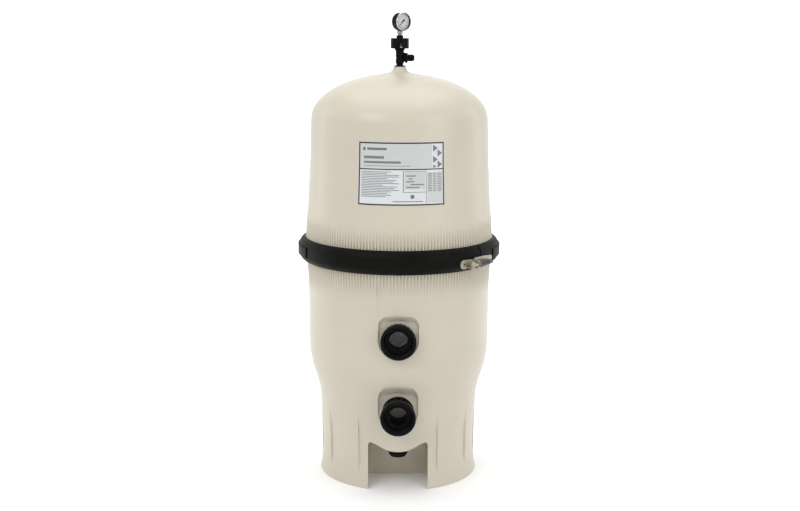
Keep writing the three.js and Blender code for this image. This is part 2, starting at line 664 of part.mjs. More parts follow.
function reliefKnob() {
  const [z0, z1] = KNOB_Z;
  const knob = turned([
    [6.7, z0], [KNOB_RADIUS - 1, z0], [KNOB_RADIUS, z0 + 1], [KNOB_RADIUS, z1 - 1],
    [KNOB_RADIUS - 1, z1], [10.8, z1], [10.8, z1 - 4.5], [4.7, z1 - 4.5], [4.7, 1172 + GAP],
    [6.7, 1172 + GAP],
  ], MEDIUM_STEPS);
  const flute = rod(2.6, z0 - OVER, z1 + OVER, 6).translate([0, -KNOB_RADIUS - 1.4, 0]);
  const flutes = [];
  for (let i = 0; i < 12; i += 1) flutes.push(flute.rotate([0, 0, i * 30 + 15]));
  return cut(knob, ...flutes);
}

function outletCap() {
  const shell = turned([[0, 22], [9.2, 22], [9.2, 33], [8, 37], [5, 39.4], [0, 39.4]]);
  return cut(shell, rod(6.3, 21, 35)).rotate([0, 90, 0]).translate([0, 0, VALVE_PORT_Z]);
}

// ---------------------------------------------------------------- pressure gauge
// Built about the dial's centre with its face looking along -Y, then turned and lifted into place.
const gauge = new THREE.Group();
gauge.position.set(0, 0, GAUGE_Z);
gauge.rotation.z = degrees(GAUGE_TURN);
part.add(gauge);

// Turns a piece made along +Z so that it faces the way the dial does.
const facing = (made) => towardsFront(made, 0);

function gaugeHousing() {
  const [back, front] = GAUGE_DEPTH;
  const socketHole = rod(5.6, -30, -17);
  const cup = facing(rod(GAUGE_CASE_RADIUS, back, front, MEDIUM_STEPS));
  const inside = facing(rod(22, back + 1.6, front + OVER, MEDIUM_STEPS));
  add("gauge_case", cut(cup, inside, socketHole), "black", gauge);
  const lensHole = GAUGE_CASE_RADIUS + GAP;
  const bezel = turned([
    [lensHole, front - 5], [GAUGE_RADIUS, front - 5], [GAUGE_RADIUS, front + 1.4], [24, front + 2.2],
    [21.8, front + 2.2], [21.8, front + 1.5], [lensHole, front + 1.5],
  ], MEDIUM_STEPS);
  add("gauge_bezel", facing(bezel), "chrome", gauge);
  add("gauge_lens", facing(rod(23.5, front + GAP, front + 1.3, MEDIUM_STEPS)), "glass", gauge);
}

function gaugeSocket() {
  const low = -GAUGE_Z;
  return join(
    rod(9.8, GAUGE_HEX_Z[0] + low, GAUGE_HEX_Z[1] + low, 6),
    rod(5, GAUGE_HEX_Z[1] - OVER + low, -17),
    rod(7.9, 1200 + low, 1208 + low, 8),
    box([-5, 5], [-3, 1.5], [-18, -13]),
  );
}

function bourdonTube() {
  const outer = arc(14, 285, 60, onCircle(0, 0, 15.4));
  const inner = arc(14, 60, 285, onCircle(0, 0, 13.4));
  return slab([...outer, ...inner], -5.6, -3.3);
}

function gaugeNeedle() {
  const start = DIAL_FRONT + 0.9;
  const outline = [
    [-0.35, 0], [-0.5, -17.5], [0, -19], [0.5, -17.5], [0.35, 0],
    [1.9, 2.5], [1.5, 8], [-1.5, 8], [-1.9, 2.5],
  ];
  return join(slab(outline, -start - 0.6, -start), facing(rod(1.8, start, start + 1.1)));
}

function sectorGear() {
  const outer = arc(8, -70, 4, onCircle(-10.4, 0, 8.2));
  return slab([...outer, [-11.6, 1.6], [-11.6, -1.6]], -2.8, -1.2);
}

function gaugePieces() {
  gaugeHousing();
  const dial = pipe(21.6, 1.1, DIAL_FRONT - 0.8, DIAL_FRONT, MEDIUM_STEPS);
  add("gauge_dial", facing(dial), "label", gauge);
  add("gauge_socket", gaugeSocket(), "brass", gauge);
  add("bourdon_tube", bourdonTube(), "brass", gauge);
  const turn = new THREE.Group();
  turn.rotation.y = degrees(NEEDLE_REST);
  gauge.add(turn);
  add("gauge_needle", gaugeNeedle(), "black", turn);
  add("needle_pinion", facing(join(rod(0.8, 0, DIAL_FRONT + 0.6, 12), rod(2, 1, 3))), "brass", gauge);
  add("sector_gear", sectorGear(), "brass", gauge);
}

// ---------------------------------------------------------------- assembly
add("tank_bottom", tankBottom(), "shell");
add("tank_lid", tankLid(), "shell");
add("tank_seal", tankSeal(), "rubber");
add("tank_label", label(), "label");
add("clamp_front", clampHalf(1), "band");
add("clamp_rear", clampHalf(-1), "band");
add("clamp_hinge_pin", hingePin(), "stainless");
add("latch_bracket", latchBracket(), "stainless");
add("saddle_bracket", saddleBracket(), "stainless");
add("clamp_bolt", clampBolt(), "stainless");
add("clamp_spring", clampSpring(), "spring");
add("spring_washer", boltWasher(SPRING_X[0] - WASHER), "stainless");
add("nut_washer", boltWasher(SPRING_X[1]), "stainless");
add("clamp_nut", clampNut(), "spring");
portPieces("lower", 0);
portPieces("upper", 1);
add("inlet_diffuser", inletDiffuser(), "white");
add("outlet_elbow", outletElbow(), "white");
const outletPipe = pipe(SLEEVE_RADIUS, 26, PORT_Z[1] + 43, MANIFOLD_Z[0], MEDIUM_STEPS);
add("outlet_pipe", outletPipe.translate([0, OUTLET_PIPE_Y, 0]), "white");
add("grid_manifold", gridManifold(), "white");
GRID_AZIMUTHS.forEach((azimuth, i) => {
  add(`grid_${i + 1}`, filterGrid(azimuth, GRID_OUTER_RADIUS), "fabric");
});
add("grid_partial", filterGrid(0, PARTIAL_GRID_OUTER), "fabric");
add("grid_spacer", gridSpacer(), "white");
add("tie_rod", rod(TIE_ROD_RADIUS, 91.5, 1000, 12), "stainless");
const rodNut = rod(10, MANIFOLD_Z[1] + GAP, MANIFOLD_Z[1] + 10, 6);
add("tie_rod_nut", cut(rodNut, rod(TIE_ROD_RADIUS + 0.05, 960, 1000, 12)), "stainless");
add("air_bleed_screen", airBleedScreen(), "white");
add("drain_plug", drainPlug(), "black");
add("drain_seal", drainSeal(), "rubber");
add("valve_body", valveBody(), "black");
add("neck_seal", neckSeal(), "rubber");
add("gauge_post", gaugePost(), "brass");
add("relief_poppet", reliefPoppet(), "white");
add("relief_knob", reliefKnob(), "black");
add("outlet_cap", outletCap(), "black");
gaugePieces();

export default part;
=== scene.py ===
import math

import bmesh
import bpy
from mathutils import Matrix, Vector


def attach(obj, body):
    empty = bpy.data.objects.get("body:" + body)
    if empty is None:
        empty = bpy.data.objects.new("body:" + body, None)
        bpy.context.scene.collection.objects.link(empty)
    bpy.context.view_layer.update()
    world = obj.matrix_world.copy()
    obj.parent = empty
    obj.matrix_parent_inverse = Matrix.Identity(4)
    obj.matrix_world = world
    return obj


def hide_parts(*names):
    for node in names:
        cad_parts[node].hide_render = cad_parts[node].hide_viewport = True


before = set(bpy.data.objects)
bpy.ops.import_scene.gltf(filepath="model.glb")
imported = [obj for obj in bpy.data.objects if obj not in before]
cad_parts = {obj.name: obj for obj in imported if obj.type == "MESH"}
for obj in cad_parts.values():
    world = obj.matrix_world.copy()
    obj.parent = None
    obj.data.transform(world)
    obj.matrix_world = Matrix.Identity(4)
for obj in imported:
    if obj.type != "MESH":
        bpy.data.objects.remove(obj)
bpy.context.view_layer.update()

MM = 0.001
FAR = 400
SMOOTH_ANGLE = math.radians(32)


# ------------------------------------------------------------------ materials
def srgb(red, green, blue):
    """A display colour, 0 to 255, as the linear colour that a shader takes."""
    shares = [channel / 255 for channel in (red, green, blue)]
    linear = [((c + 0.055) / 1.055) ** 2.4 if c > 10 / 255 else c / 12.92 for c in shares]
    return (*linear, 1)


def surface(name, colour, roughness, metal=0.0, mottle=0.06, mottle_scale=9, grain=0.02,
            grain_scale=900, stretch=(1, 1, 1), rough_spread=0.06, coat=0.0, grain_depth=0.0004,
            specular=0.5):
    """A procedural finish: mottled colour, uneven gloss and a fine grain in the bump."""
    material = bpy.data.materials.new(name)
    material.use_nodes = True
    tree = material.node_tree
    shader = tree.nodes["Principled BSDF"]
    shader.inputs["Metallic"].default_value = metal
    shader.inputs["Coat Weight"].default_value = coat
    shader.inputs["Specular IOR Level"].default_value = specular
    shader.inputs["Coat Roughness"].default_value = 0.12
    where = tree.nodes.new("ShaderNodeTexCoord")
    mapping = tree.nodes.new("ShaderNodeMapping")
    mapping.inputs["Scale"].default_value = stretch
    tree.links.new(where.outputs["Object"], mapping.inputs["Vector"])

    def noise(scale, detail):
        node = tree.nodes.new("ShaderNodeTexNoise")
        node.inputs["Scale"].default_value = scale
        node.inputs["Detail"].default_value = detail
        tree.links.new(mapping.outputs["Vector"], node.inputs["Vector"])
        return node

    broad = noise(mottle_scale, 4)
    fine = noise(grain_scale, 3)
    ramp = tree.nodes.new("ShaderNodeValToRGB")
    for element, position, shade in zip(ramp.color_ramp.elements, (0.3, 0.7), (1 - mottle, 1 + mottle)):
        element.position = position
        element.color = (*(min(1, c * shade) for c in colour[:3]), 1)
    tree.links.new(broad.outputs["Fac"], ramp.inputs["Fac"])
    tree.links.new(ramp.outputs["Color"], shader.inputs["Base Color"])
    gloss = tree.nodes.new("ShaderNodeMapRange")
    gloss.inputs["To Min"].default_value = max(0.02, roughness - rough_spread)
    gloss.inputs["To Max"].default_value = min(1, roughness + rough_spread)
    tree.links.new(fine.outputs["Fac"], gloss.inputs["Value"])
    tree.links.new(gloss.outputs["Result"], shader.inputs["Roughness"])
    bump = tree.nodes.new("ShaderNodeBump")
    bump.inputs["Strength"].default_value = grain
    bump.inputs["Distance"].default_value = grain_depth
    tree.links.new(fine.outputs["Fac"], bump.inputs["Height"])
    tree.links.new(bump.outputs["Normal"], shader.inputs["Normal"])
    return material


def woven(name, colour):
    """Filter cloth: two crossed sets of fine threads."""
    material = surface(name, colour, 0.9, mottle=0.05, grain=0.3)
    tree = material.node_tree
    where = next(node for node in tree.nodes if node.type == "TEX_COORD")
    weave = []
    for direction in ("X", "Z"):
        threads = tree.nodes.new("ShaderNodeTexWave")
        threads.bands_direction = direction
        threads.inputs["Scale"].default_value = 320
        tree.links.new(where.outputs["Object"], threads.inputs["Vector"])
        weave.append(threads)
    both = tree.nodes.new("ShaderNodeMath")
    both.operation = "MAXIMUM"
    tree.links.new(weave[0].outputs["Fac"], both.inputs[0])
    tree.links.new(weave[1].outputs["Fac"], both.inputs[1])
    bump = next(node for node in tree.nodes if node.type == "BUMP")
    tree.links.new(both.outputs["Value"], bump.inputs["Height"])
    return material


def clear(name):
    """The gauge's window."""
    material = surface(name, (1, 1, 1, 1), 0.03, mottle=0.0, rough_spread=0.01, grain=0.0)
    shader = material.node_tree.nodes["Principled BSDF"]
    shader.inputs["Transmission Weight"].default_value = 1.0
    shader.inputs["IOR"].default_value = 1.2
    return material


ALMOND = srgb(192, 185, 169)
FINISH = {
    "shell": surface("moulded_almond", ALMOND, 0.42, mottle=0.025, mottle_scale=5, grain=0.12,
                     grain_scale=700, grain_depth=0.0003, coat=0.12),
    "band": surface("band_black", srgb(10, 10, 8), 0.5, specular=0.08, mottle=0.25, mottle_scale=14,
                    grain=0.25, grain_scale=420, grain_depth=0.0005),
    "black": surface("moulded_black", srgb(6, 6, 7), 0.42, specular=0.1, mottle=0.2, mottle_scale=60,
                     grain=0.12, grain_scale=1500),
    "stainless": surface("brushed_stainless", srgb(172, 165, 152), 0.5, metal=1, mottle=0.08,
                         mottle_scale=90, grain=0.15, grain_scale=260, stretch=(1, 1, 14)),
    "spring": surface("oiled_steel", srgb(92, 92, 94), 0.35, metal=1, mottle=0.15, mottle_scale=120),
    "brass": surface("turned_brass", srgb(186, 160, 100), 0.28, metal=1, mottle=0.1, mottle_scale=150),
    "chrome": surface("polished_chrome", srgb(214, 216, 218), 0.08, metal=1, mottle=0.02, grain=0.02,
                      rough_spread=0.03),
    "rubber": surface("black_rubber", srgb(26, 26, 26), 0.75, mottle=0.15, mottle_scale=80, grain=0.3),
    "white": surface("moulded_white", srgb(226, 226, 222), 0.45, mottle=0.03, mottle_scale=20, grain=0.1),
    "fabric": woven("filter_cloth", srgb(230, 228, 220)),
    "glass": clear("gauge_window"),
    "label": surface("label_film", srgb(204, 207, 209), 0.3, mottle=0.015, mottle_scale=30, grain=0.04),
    "dial": surface("dial_face", srgb(224, 226, 226), 0.4, mottle=0.02, mottle_scale=60, grain=0.03),
}
INKS = {
    "ink_black": (srgb(34, 33, 30), 0.1),
    "ink_grey": (srgb(104, 106, 108), 0.06),
    "ink_pale": (srgb(186, 189, 188), 0.02),
    "ink_text": (srgb(112, 115, 114), 0.04),
    "ink_violet": (srgb(204, 198, 214), 0.02),
}
for ink, (colour, mottle) in INKS.items():
    FINISH[ink] = surface(ink, colour, 0.35, mottle=mottle, mottle_scale=80)


# ------------------------------------------------------------------ building pieces
def azimuth_point(radius, azimuth, z):
    angle = math.radians(azimuth)
    return (radius * math.sin(angle), -radius * math.cos(angle), z)


def build(name, shells, finish, body="tank", replaced=()):
    """One object from closed shells of (points, faces) in millimetres."""
    points, faces = [], []
    for shell_points, shell_faces in shells:
        first = len(points)
        points += shell_points
        faces += [tuple(first + i for i in face) for face in shell_faces]
    mesh = bpy.data.meshes.new(name)
    mesh.from_pydata([Vector(p) * MM for p in points], [], faces)
    work = bmesh.new()
    work.from_mesh(mesh)
    bmesh.ops.remove_doubles(work, verts=work.verts, dist=1e-6)
    bmesh.ops.dissolve_degenerate(work, dist=1e-7, edges=work.edges)
    bmesh.ops.recalc_face_normals(work, faces=work.faces)
    work.to_mesh(mesh)
    work.free()
    piece = bpy.data.objects.new(name, mesh)
    bpy.context.scene.collection.objects.link(piece)
    if body is None:
        return piece
    finished(piece, finish, body, replaced)
    return piece


def finished(piece, finish, body, replaced=(), smooth=True):
    """Gives a piece its shading, material, body and the CAD nodes that it stands for."""
    if smooth:
        piece.data.shade_smooth()
        piece.data.set_sharp_from_angle(angle=SMOOTH_ANGLE)
    piece.data.materials.clear()
    piece.data.materials.append(FINISH[finish])
    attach(piece, body)
    if replaced:
        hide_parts(*replaced)


def rounded(outline, radius=0.8, steps=3):
    """A closed outline with its corners turned into small arcs. A point may carry its own radius."""
    result = []
    count = len(outline)
    for i, point in enumerate(outline):
        here = Vector(point[:2])
        before = Vector(outline[i - 1][:2]) - here
        after = Vector(outline[(i + 1) % count][:2]) - here
        wanted = point[2] if len(point) > 2 else radius
        turn = math.pi - before.angle(after) if before.length and after.length else 0
        reach = min(wanted * math.tan(turn / 2), 0.45 * before.length, 0.45 * after.length)
        if wanted <= 0 or turn < math.radians(12) or here.x < 1e-6:
            result.append((here.x, here.y))
            continue
        start = here + before.normalized() * reach
        end = here + after.normalized() * reach
        for k in range(steps + 1):
            t = k / steps
            bend = start * (1 - t) ** 2 + here * 2 * t * (1 - t) + end * t ** 2
            result.append((bend.x, bend.y))
    return result


def revolve(outline, steps=96, start=-180.0, sweep=360.0, radius_at=None):
    """A closed outline of (radius, z) turned about Z. radius_at(radius, z, azimuth, i) may move a point."""
    whole = abs(sweep - 360) < 1e-6
    columns = steps if whole else steps + 1
    count = len(outline)
    points = []
    for column in range(columns):
        azimuth = start + sweep * column / steps
        for i, (radius, z) in enumerate(outline):
            moved = radius_at(radius, z, azimuth, i) if radius_at else radius
            points.append(azimuth_point(moved, azimuth, z))
    faces = []
    for column in range(steps):
        a = column * count
        b = ((column + 1) % columns) * count
        for i in range(count):
            j = (i + 1) % count
            faces.append((a + i, a + j, b + j, b + i))
    if not whole:
        faces.append(tuple(range(count)))
        faces.append(tuple(steps * count + i for i in reversed(range(count))))
    return points, faces


def prism(outline, low, high):
    """A flat outline of (x, y) given its height from low to high along Z."""
    count = len(outline)
    points = [(x, y, low) for x, y in outline] + [(x, y, high) for x, y in outline]
    faces = [tuple(reversed(range(count))), tuple(range(count, 2 * count))]
    faces += [(i, (i + 1) % count, count + (i + 1) % count, count + i) for i in range(count)]
    return points, faces


def moved(shell, matrix):
    points, faces = shell
    return [tuple(matrix @ Vector(p)) for p in points], faces


def block(x, y, z, edge=0.6):
    """A box with rounded upright edges."""
    outline = rounded([(x[0], y[0]), (x[1], y[0]), (x[1], y[1]), (x[0], y[1])], edge)
    return prism(outline, z[0], z[1])


def turn(axis, angle):
    return Matrix.Rotation(math.radians(angle), 4, axis)


def shift(x, y, z):
    return Matrix.Translation((x, y, z))


FRONTWARDS = turn("X", 90)  # takes +Z to -Y


def in_metres(matrix):
    """The same placing for points that are already in metres."""
    result = matrix.copy()
    result.translation = matrix.translation * MM
    return result


def combine(target, tool, operation):
    """Cuts, joins or intersects target with tool, and removes the tool."""
    step = target.modifiers.new(operation, "BOOLEAN")
    step.object = tool
    step.operation = operation
    step.solver = "MANIFOLD"
    graph = bpy.context.evaluated_depsgraph_get()
    result = bpy.data.meshes.new_from_object(target.evaluated_get(graph))
    target.modifiers.clear()
    target.data = result
    bpy.data.objects.remove(tool)


def spline(knots, step):
    """Points about `step` apart on a smooth curve through (radius, z) knots."""
    result = []
    for i in range(len(knots) - 1):
        p0, p1, p2, p3 = (Vector(knots[min(max(k, 0), len(knots) - 1)]) for k in (i - 1, i, i + 1, i + 2))
        pieces = max(1, round((p2 - p1).length / step))
        for k in range(pieces):
            t = k / pieces
            result.append(tuple(0.5 * (2 * p1 + (p2 - p0) * t + (2 * p0 - 5 * p1 + 4 * p2 - p3) * t ** 2
                                       + (3 * p1 - p0 - 3 * p2 + p3) * t ** 3)))
    result.append(tuple(knots[-1]))
    return result


def arc(count, first, last, place):
    return [place(first + (last - first) * i / count) for i in range(count + 1)]


def round_point(cx, cy, radius):
    return lambda angle: (cx + radius * math.cos(math.radians(angle)),
                          cy + radius * math.sin(math.radians(angle)))


# ------------------------------------------------------------------ tank shells
SHELL_COLUMNS = 720
RIBS = 180
PART_LINE = 626
RIB_DEPTH = 5
RIB_FLARE = 2
LOWER_RIBS = (516, 598)  # the gussets under the band, from their tips to the flange
UPPER_RIBS = (654, 726)  # the gussets above the band, from the flange to their tips
LOWER_FLARE = 580  # heights from which the gussets flare out towards the band
UPPER_FLARE = 674
FOOT = [(218, 0), (214, 16), (212, 60), (213, 120), (214.5, 180)]
SHOULDER = [(216, 212), (220.5, 242), (229.5, 275), (237.5, 300), (243, 325), (246.2, 352), (247.3, 400),
            (248, 520), (251.5, 598)]
LID_WALL = [(254, 654), (252, 700), (247, 760), (244, 820), (240.8, 880), (239.6, 940)]
PORT_Z = (217.4, 420.6)
PORT_PAD = (206, 235)  # how far each pad is from the tank's axis
PORT_RAMP = (28, 12.6)  # how far the ceiling over each pad runs out, to just past the wall
DEEP_PAD = 220  # a pad nearer the axis than this leaves room for ribs on the barrel
PAD_RADIUS = 53
WALL = 7
DRAIN_Y = -165
DISH_TOP = 232
NECK_TOP = 1113.5
DOME_LOW = 975


def rib_pattern(azimuth):
    """0 on a rib, 1 in the groove beside it."""
    phase = (azimuth * RIBS / 360) % 1.0
    return 1.0 if phase > 0.45 else 0.0


def skirt_step(azimuth, z):
    """Shallow overlapping panels in the skirt: each one sinks in towards the side, up to the next."""
    depth = 4.4
    panel = 30.0
    share = (abs(azimuth) % panel) / panel
    fade_top = min(1.0, max(0.0, (205 - 0.45 * abs(azimuth) - z) / 95 + 0.25 * share))
    fade_low = min(1.0, max(0.0, (z - 36) / 45))
    return depth * share ** 1.4 * min(1.0, 1.6 * fade_top, 1.6 * fade_low)


def bottom_radius(radius, z, azimuth, i, outer_count):
    if i >= outer_count:
        return radius
    start, end = LOWER_RIBS
    if start < z <= end:
        groove = RIB_DEPTH * (z - start) / (end - start)
        flare = RIB_FLARE * max(0, (z - LOWER_FLARE) / 19) ** 2
        return radius - groove if rib_pattern(azimuth) else radius + flare
    if z < 215:
        return radius - skirt_step(azimuth, z)
    return radius


def lid_radius(radius, z, azimuth, i, outer_count):
    start, end = UPPER_RIBS
    if i < outer_count and start < z < end:
        groove = RIB_DEPTH * (end - z) / (end - start)
        flare = RIB_FLARE * max(0, (UPPER_FLARE - z) / 20) ** 2
        return radius - groove if rib_pattern(azimuth) else radius + flare
    return radius


def oval(cy, wide, tall):
    """The point of an upright ellipse on the tank's axis, at an angle."""
    return lambda angle: (wide * math.cos(math.radians(angle)), cy + tall * math.sin(math.radians(angle)))


def dish(radius, depth):
    return arc(24, 0, 90, oval(DISH_TOP, radius, -depth))


def arched(half, low, high, corner, steps=8):
    """A rectangle standing on its square corners, with both corners at the high end rounded."""
    outline = [(-half, low), (half, low)]
    outline += arc(steps, 0, 90, round_point(half - corner, high - corner, corner))
    outline += arc(steps, 90, 180, round_point(corner - half, high - corner, corner))
    return outline


def rounded_slot(half, low, high, corner, y0, y1):
    """A U of half-width `half` in X and Z, open downwards, as a prism along Y."""
    outline = arched(half, low, high, corner)
    return moved(prism(outline, -y1, -y0), FRONTWARDS)


def alcove_tool(grow, depth_y, top):
    """The hand space under the front, made larger all round by grow."""
    return prism(arched(80 + grow, depth_y, grow - 79, 14 + grow), -1, top)


def under_dish(radius):
    curve = [p for p in dish(222, 150) if p[0] < 206]
    return [(0, -1), (radius, -1), (radius, 174), (206, 174)] + curve


def pad_tool(z, pad, deep):
    """The U-shaped recess round a port: flat at the pad, with a soft ceiling that runs out to the wall."""
    points, faces = [], []
    levels = 20
    for level in range(levels + 1):
        out = level / levels
        ceiling = z + 43 + (0.55 * deep + 20) * out
        outline = arched(PAD_RADIUS, z, ceiling, 20, 10)
        depth = pad + deep * (3 * out ** 2 - 2 * out ** 3) if level < levels else FAR
        points += [(x, -depth, height) for x, height in outline]
    count = len(points) // (levels + 1)
    for level in range(levels):
        for i in range(count):
            j = (i + 1) % count
            low, high = level * count, (level + 1) * count
            faces.append((low + i, low + j, high + j, high + i))
    faces.append(tuple(range(count)))
    faces.append(tuple(levels * count + i for i in reversed(range(count))))
    return points, faces


def pad_round_tool(z, pad):
    """The round lower end of the recess, with a small fillet at the pad."""
    outline = [(0, pad), (PAD_RADIUS - 1.5, pad), (PAD_RADIUS, pad + 1.5), (PAD_RADIUS, 300), (0, 300)]
    return moved(revolve(outline, 96), shift(0, 0, z) @ FRONTWARDS)


def tank_bottom():
    outer = spline(FOOT + SHOULDER, 5.0)
    flange = [(262, 600), (262, PART_LINE - 0.15)]
    outer_count = len(outer)
    outline = [(0, 0), (216.5, 0)] + outer[1:] + flange + [(0, PART_LINE - 0.15)]
    shape = lambda r, z, a, i: bottom_radius(r, z, a, i - 1, outer_count + 1)
    shell = build("tank_bottom_shell", [revolve(outline, SHELL_COLUMNS, radius_at=shape)], None, body=None)

    def tool(*shells):
        return build("tool", list(shells), None, body=None)

    inner = [(r - WALL, z) for r, z in reversed(spline([p for p in SHOULDER if p[1] > 236], 12.0))]
    inside = [(0, PART_LINE + 1), (244.5, PART_LINE + 1)] + inner + dish(210, 141)
    inside_tool = tool(revolve(inside, 144))
    for z, pad in zip(PORT_Z, PORT_PAD):
        keep_wall = tool(block((-60, 60), (-270, -pad + 8), (z - 59, z + 86)))
        combine(inside_tool, keep_wall, "DIFFERENCE")
    combine(shell, inside_tool, "DIFFERENCE")
    hollow = tool(revolve(under_dish(206), 144))
    combine(hollow, tool(alcove_tool(6, -FAR, 240)), "DIFFERENCE")
    combine(shell, hollow, "DIFFERENCE")
    alcove = tool(rounded_slot(80, -1, 132, 13, -FAR, -79))
    combine(alcove, tool(alcove_tool(0, -FAR, 240)), "INTERSECT")
    behind = tool(revolve([(0, -1), (204, -1), (204, 240), (0, 240)], 96))
    combine(behind, tool(alcove_tool(0, -FAR, 240)), "INTERSECT")
    combine(alcove, behind, "UNION")
    combine(alcove, tool(revolve(under_dish(FAR), 144)), "INTERSECT")
    belly = [(32, 101.6), (42, 105.2), (53, 112), (64, 121.5), (74, 127.5), (84, 131)]
    funnel = [(0, 100.5), (28.8, 100.5), (30, 101.1)] + spline(belly, 4) + [(84, 182), (0, 182)]
    combine(alcove, tool(moved(revolve(funnel, 96), shift(0, DRAIN_Y, 0))), "DIFFERENCE")
    combine(shell, alcove, "DIFFERENCE")
    for z, pad, deep in zip(PORT_Z, PORT_PAD, PORT_RAMP):
        combine(shell, tool(pad_tool(z, pad, deep)), "DIFFERENCE")
        combine(shell, tool(pad_round_tool(z, pad)), "DIFFERENCE")
        bore = revolve([(0, 150), (30.3, 150), (30.3, FAR), (0, FAR)], 64)
        combine(shell, tool(moved(bore, shift(0, 0, z) @ FRONTWARDS)), "DIFFERENCE")
    bore = revolve([(0, 80), (15, 80), (15, 106), (34, 124), (34, 176), (0, 176)], 64)
    combine(shell, tool(moved(bore, shift(0, DRAIN_Y, 0))), "DIFFERENCE")
    finished(shell, "shell", "tank", ["tank_bottom"])


def tank_lid():
    wide, tall = 238, 122
    low = PART_LINE + 0.15
    dome = arc(40, 0, 76, oval(DOME_LOW, wide, tall))
    inside_dome = arc(20, 84, 0, oval(DOME_LOW, wide - WALL, tall - WALL))
    wall = spline(LID_WALL + [(wide, DOME_LOW)], 6.0)
    neck = spline([dome[-1], (36, 1097.5), (26, 1100), (20.5, 1104.5), (17.6, 1110), (16.6, 1112.8)], 2.0)
    outer = [(262, low), (262, 651.6)] + wall[:-1] + dome[:-1] + neck + [(16, NECK_TOP), (12.4, NECK_TOP)]
    inner = [(12.4, 1090)] + inside_dome + [(r - WALL, z) for r, z in reversed(LID_WALL)] + [(247, low)]
    shape = lambda r, z, a, i: lid_radius(r, z, a, i, len(outer))
    shell = revolve(outer + inner, SHELL_COLUMNS, radius_at=shape)
    build("tank_lid_shell", [shell], "shell", replaced=["tank_lid"])


def mould_line():
    """The fine ridge that runs up the wall beside the upper port."""
    wall = [(247.5, 447), (247.8, 485), (248, 520), (249.8, 560)]
    outline = wall + [(radius + 0.5, z) for radius, z in reversed(wall)]
    build("mould_line", [revolve([(r - 0.2, z) for r, z in outline], 2, -12.4, 0.36)], "shell")


def tank_seal_ring():
    outline = []
    for angle in range(0, 360, 30):
        side, rise = round_point(0, 0, 1)(angle)
        outline.append((253 + 3.3 * side, 623.2 + 2.2 * rise))
    build("tank_seal_ring", [revolve(outline, 120)], "rubber", replaced=["tank_seal"])


# ------------------------------------------------------------------ label
LABEL_AZ = (-25.3, 28.3)
LABEL_Z = (772, 933.5)
LABEL_FACE = [(246.4, 772), (244, 820), (240.8, 880), (239.75, 933.5)]


def label_radius(z):
    for (r0, z0), (r1, z1) in zip(LABEL_FACE, LABEL_FACE[1:]):
        if z <= z1:
            return r0 + (r1 - r0) * (z - z0) / (z1 - z0)
    return LABEL_FACE[-1][0]


def label_patch(x0, x1, y0, y1, lift=0.75, corner=0.0):
    """A thin printed patch. x runs 0 to 1 across the label and y 0 to 1 down it."""
    across = (LABEL_AZ[1] - LABEL_AZ[0])
    tall = LABEL_Z[1] - LABEL_Z[0]
    width_mm = across * math.radians(1) * 243
    columns = max(1, round((x1 - x0) * across / 1.2))
    rows = max(1, round((y1 - y0) * tall / 12))
    thick = 0.09

    def at(column, row, layer):
        x = x0 + (x1 - x0) * column / columns
        y = y0 + (y1 - y0) * row / rows
        if corner:
            near_x = min(x - x0, x1 - x) * width_mm
            near_y = min(y - y0, y1 - y) * tall
            if near_y < 1e-6 and near_x < 1e-6:
                x += corner / width_mm * (0.35 if x < (x0 + x1) / 2 else -0.35)
                y += corner / tall * (0.35 if y < (y0 + y1) / 2 else -0.35)
        z = LABEL_Z[1] - tall * y
        return azimuth_point(label_radius(z) + lift + layer * thick, LABEL_AZ[0] + across * x, z)

    points = [at(c, r, layer) for layer in (0, 1) for c in range(columns + 1) for r in range(rows + 1)]
    stride = rows + 1
    sheet = (columns + 1) * stride
    faces = []
    for c in range(columns):
        for r in range(rows):
            a, b = c * stride + r, (c + 1) * stride + r
            faces.append((a, a + 1, b + 1, b))
            faces.append((sheet + a, sheet + b, sheet + b + 1, sheet + a + 1))
    for c in range(columns):
        a, b = c * stride, (c + 1) * stride
        faces.append((a, b, sheet + b, sheet + a))
        faces.append((a + rows, sheet + a + rows, sheet + b + rows, b + rows))
    last = columns * stride
    for r in range(rows):
        faces.append((r, sheet + r, sheet + r + 1, r + 1))
        faces.append((last + r, last + r + 1, sheet + last + r + 1, sheet + last + r))
    return points, faces


def label_triangle(x0, x1, y0, y1, towards_right, lift=0.86):
    """A printed triangle filling a cell of the side strip."""
    tall = LABEL_Z[1] - LABEL_Z[0]
    across = LABEL_AZ[1] - LABEL_AZ[0]
    foot, tip = (x0, x1) if towards_right else (x1, x0)
    corners = [(foot, y0), (tip, (y0 + y1) / 2), (foot, y1)]

    def at(x, y, layer):
        z = LABEL_Z[1] - tall * y
        return azimuth_point(label_radius(z) + lift + layer * 0.09, LABEL_AZ[0] + across * x, z)

    points = [at(x, y, layer) for layer in (0, 1) for x, y in corners]
    return points, [(0, 2, 1), (3, 4, 5), (0, 1, 4, 3), (1, 2, 5, 4), (2, 0, 3, 5)]


def label_disc(x, y, radius, steps=28):
    """A printed round spot, radius in mm, centred at x across and y down the label."""
    z = LABEL_Z[1] - (LABEL_Z[1] - LABEL_Z[0]) * y
    azimuth = LABEL_AZ[0] + (LABEL_AZ[1] - LABEL_AZ[0]) * x
    points = []
    for lift in (0.75, 0.84):
        for i in range(steps):
            side, rise = round_point(0, 0, radius)(360 * i / steps)
            height = z + rise
            around = azimuth + math.degrees(side / 243)
            points.append(azimuth_point(label_radius(height) + lift, around, height))
    faces = [tuple(reversed(range(steps))), tuple(range(steps, 2 * steps))]
    faces += [(i, (i + 1) % steps, steps + (i + 1) % steps, steps + i) for i in range(steps)]
    return points, faces


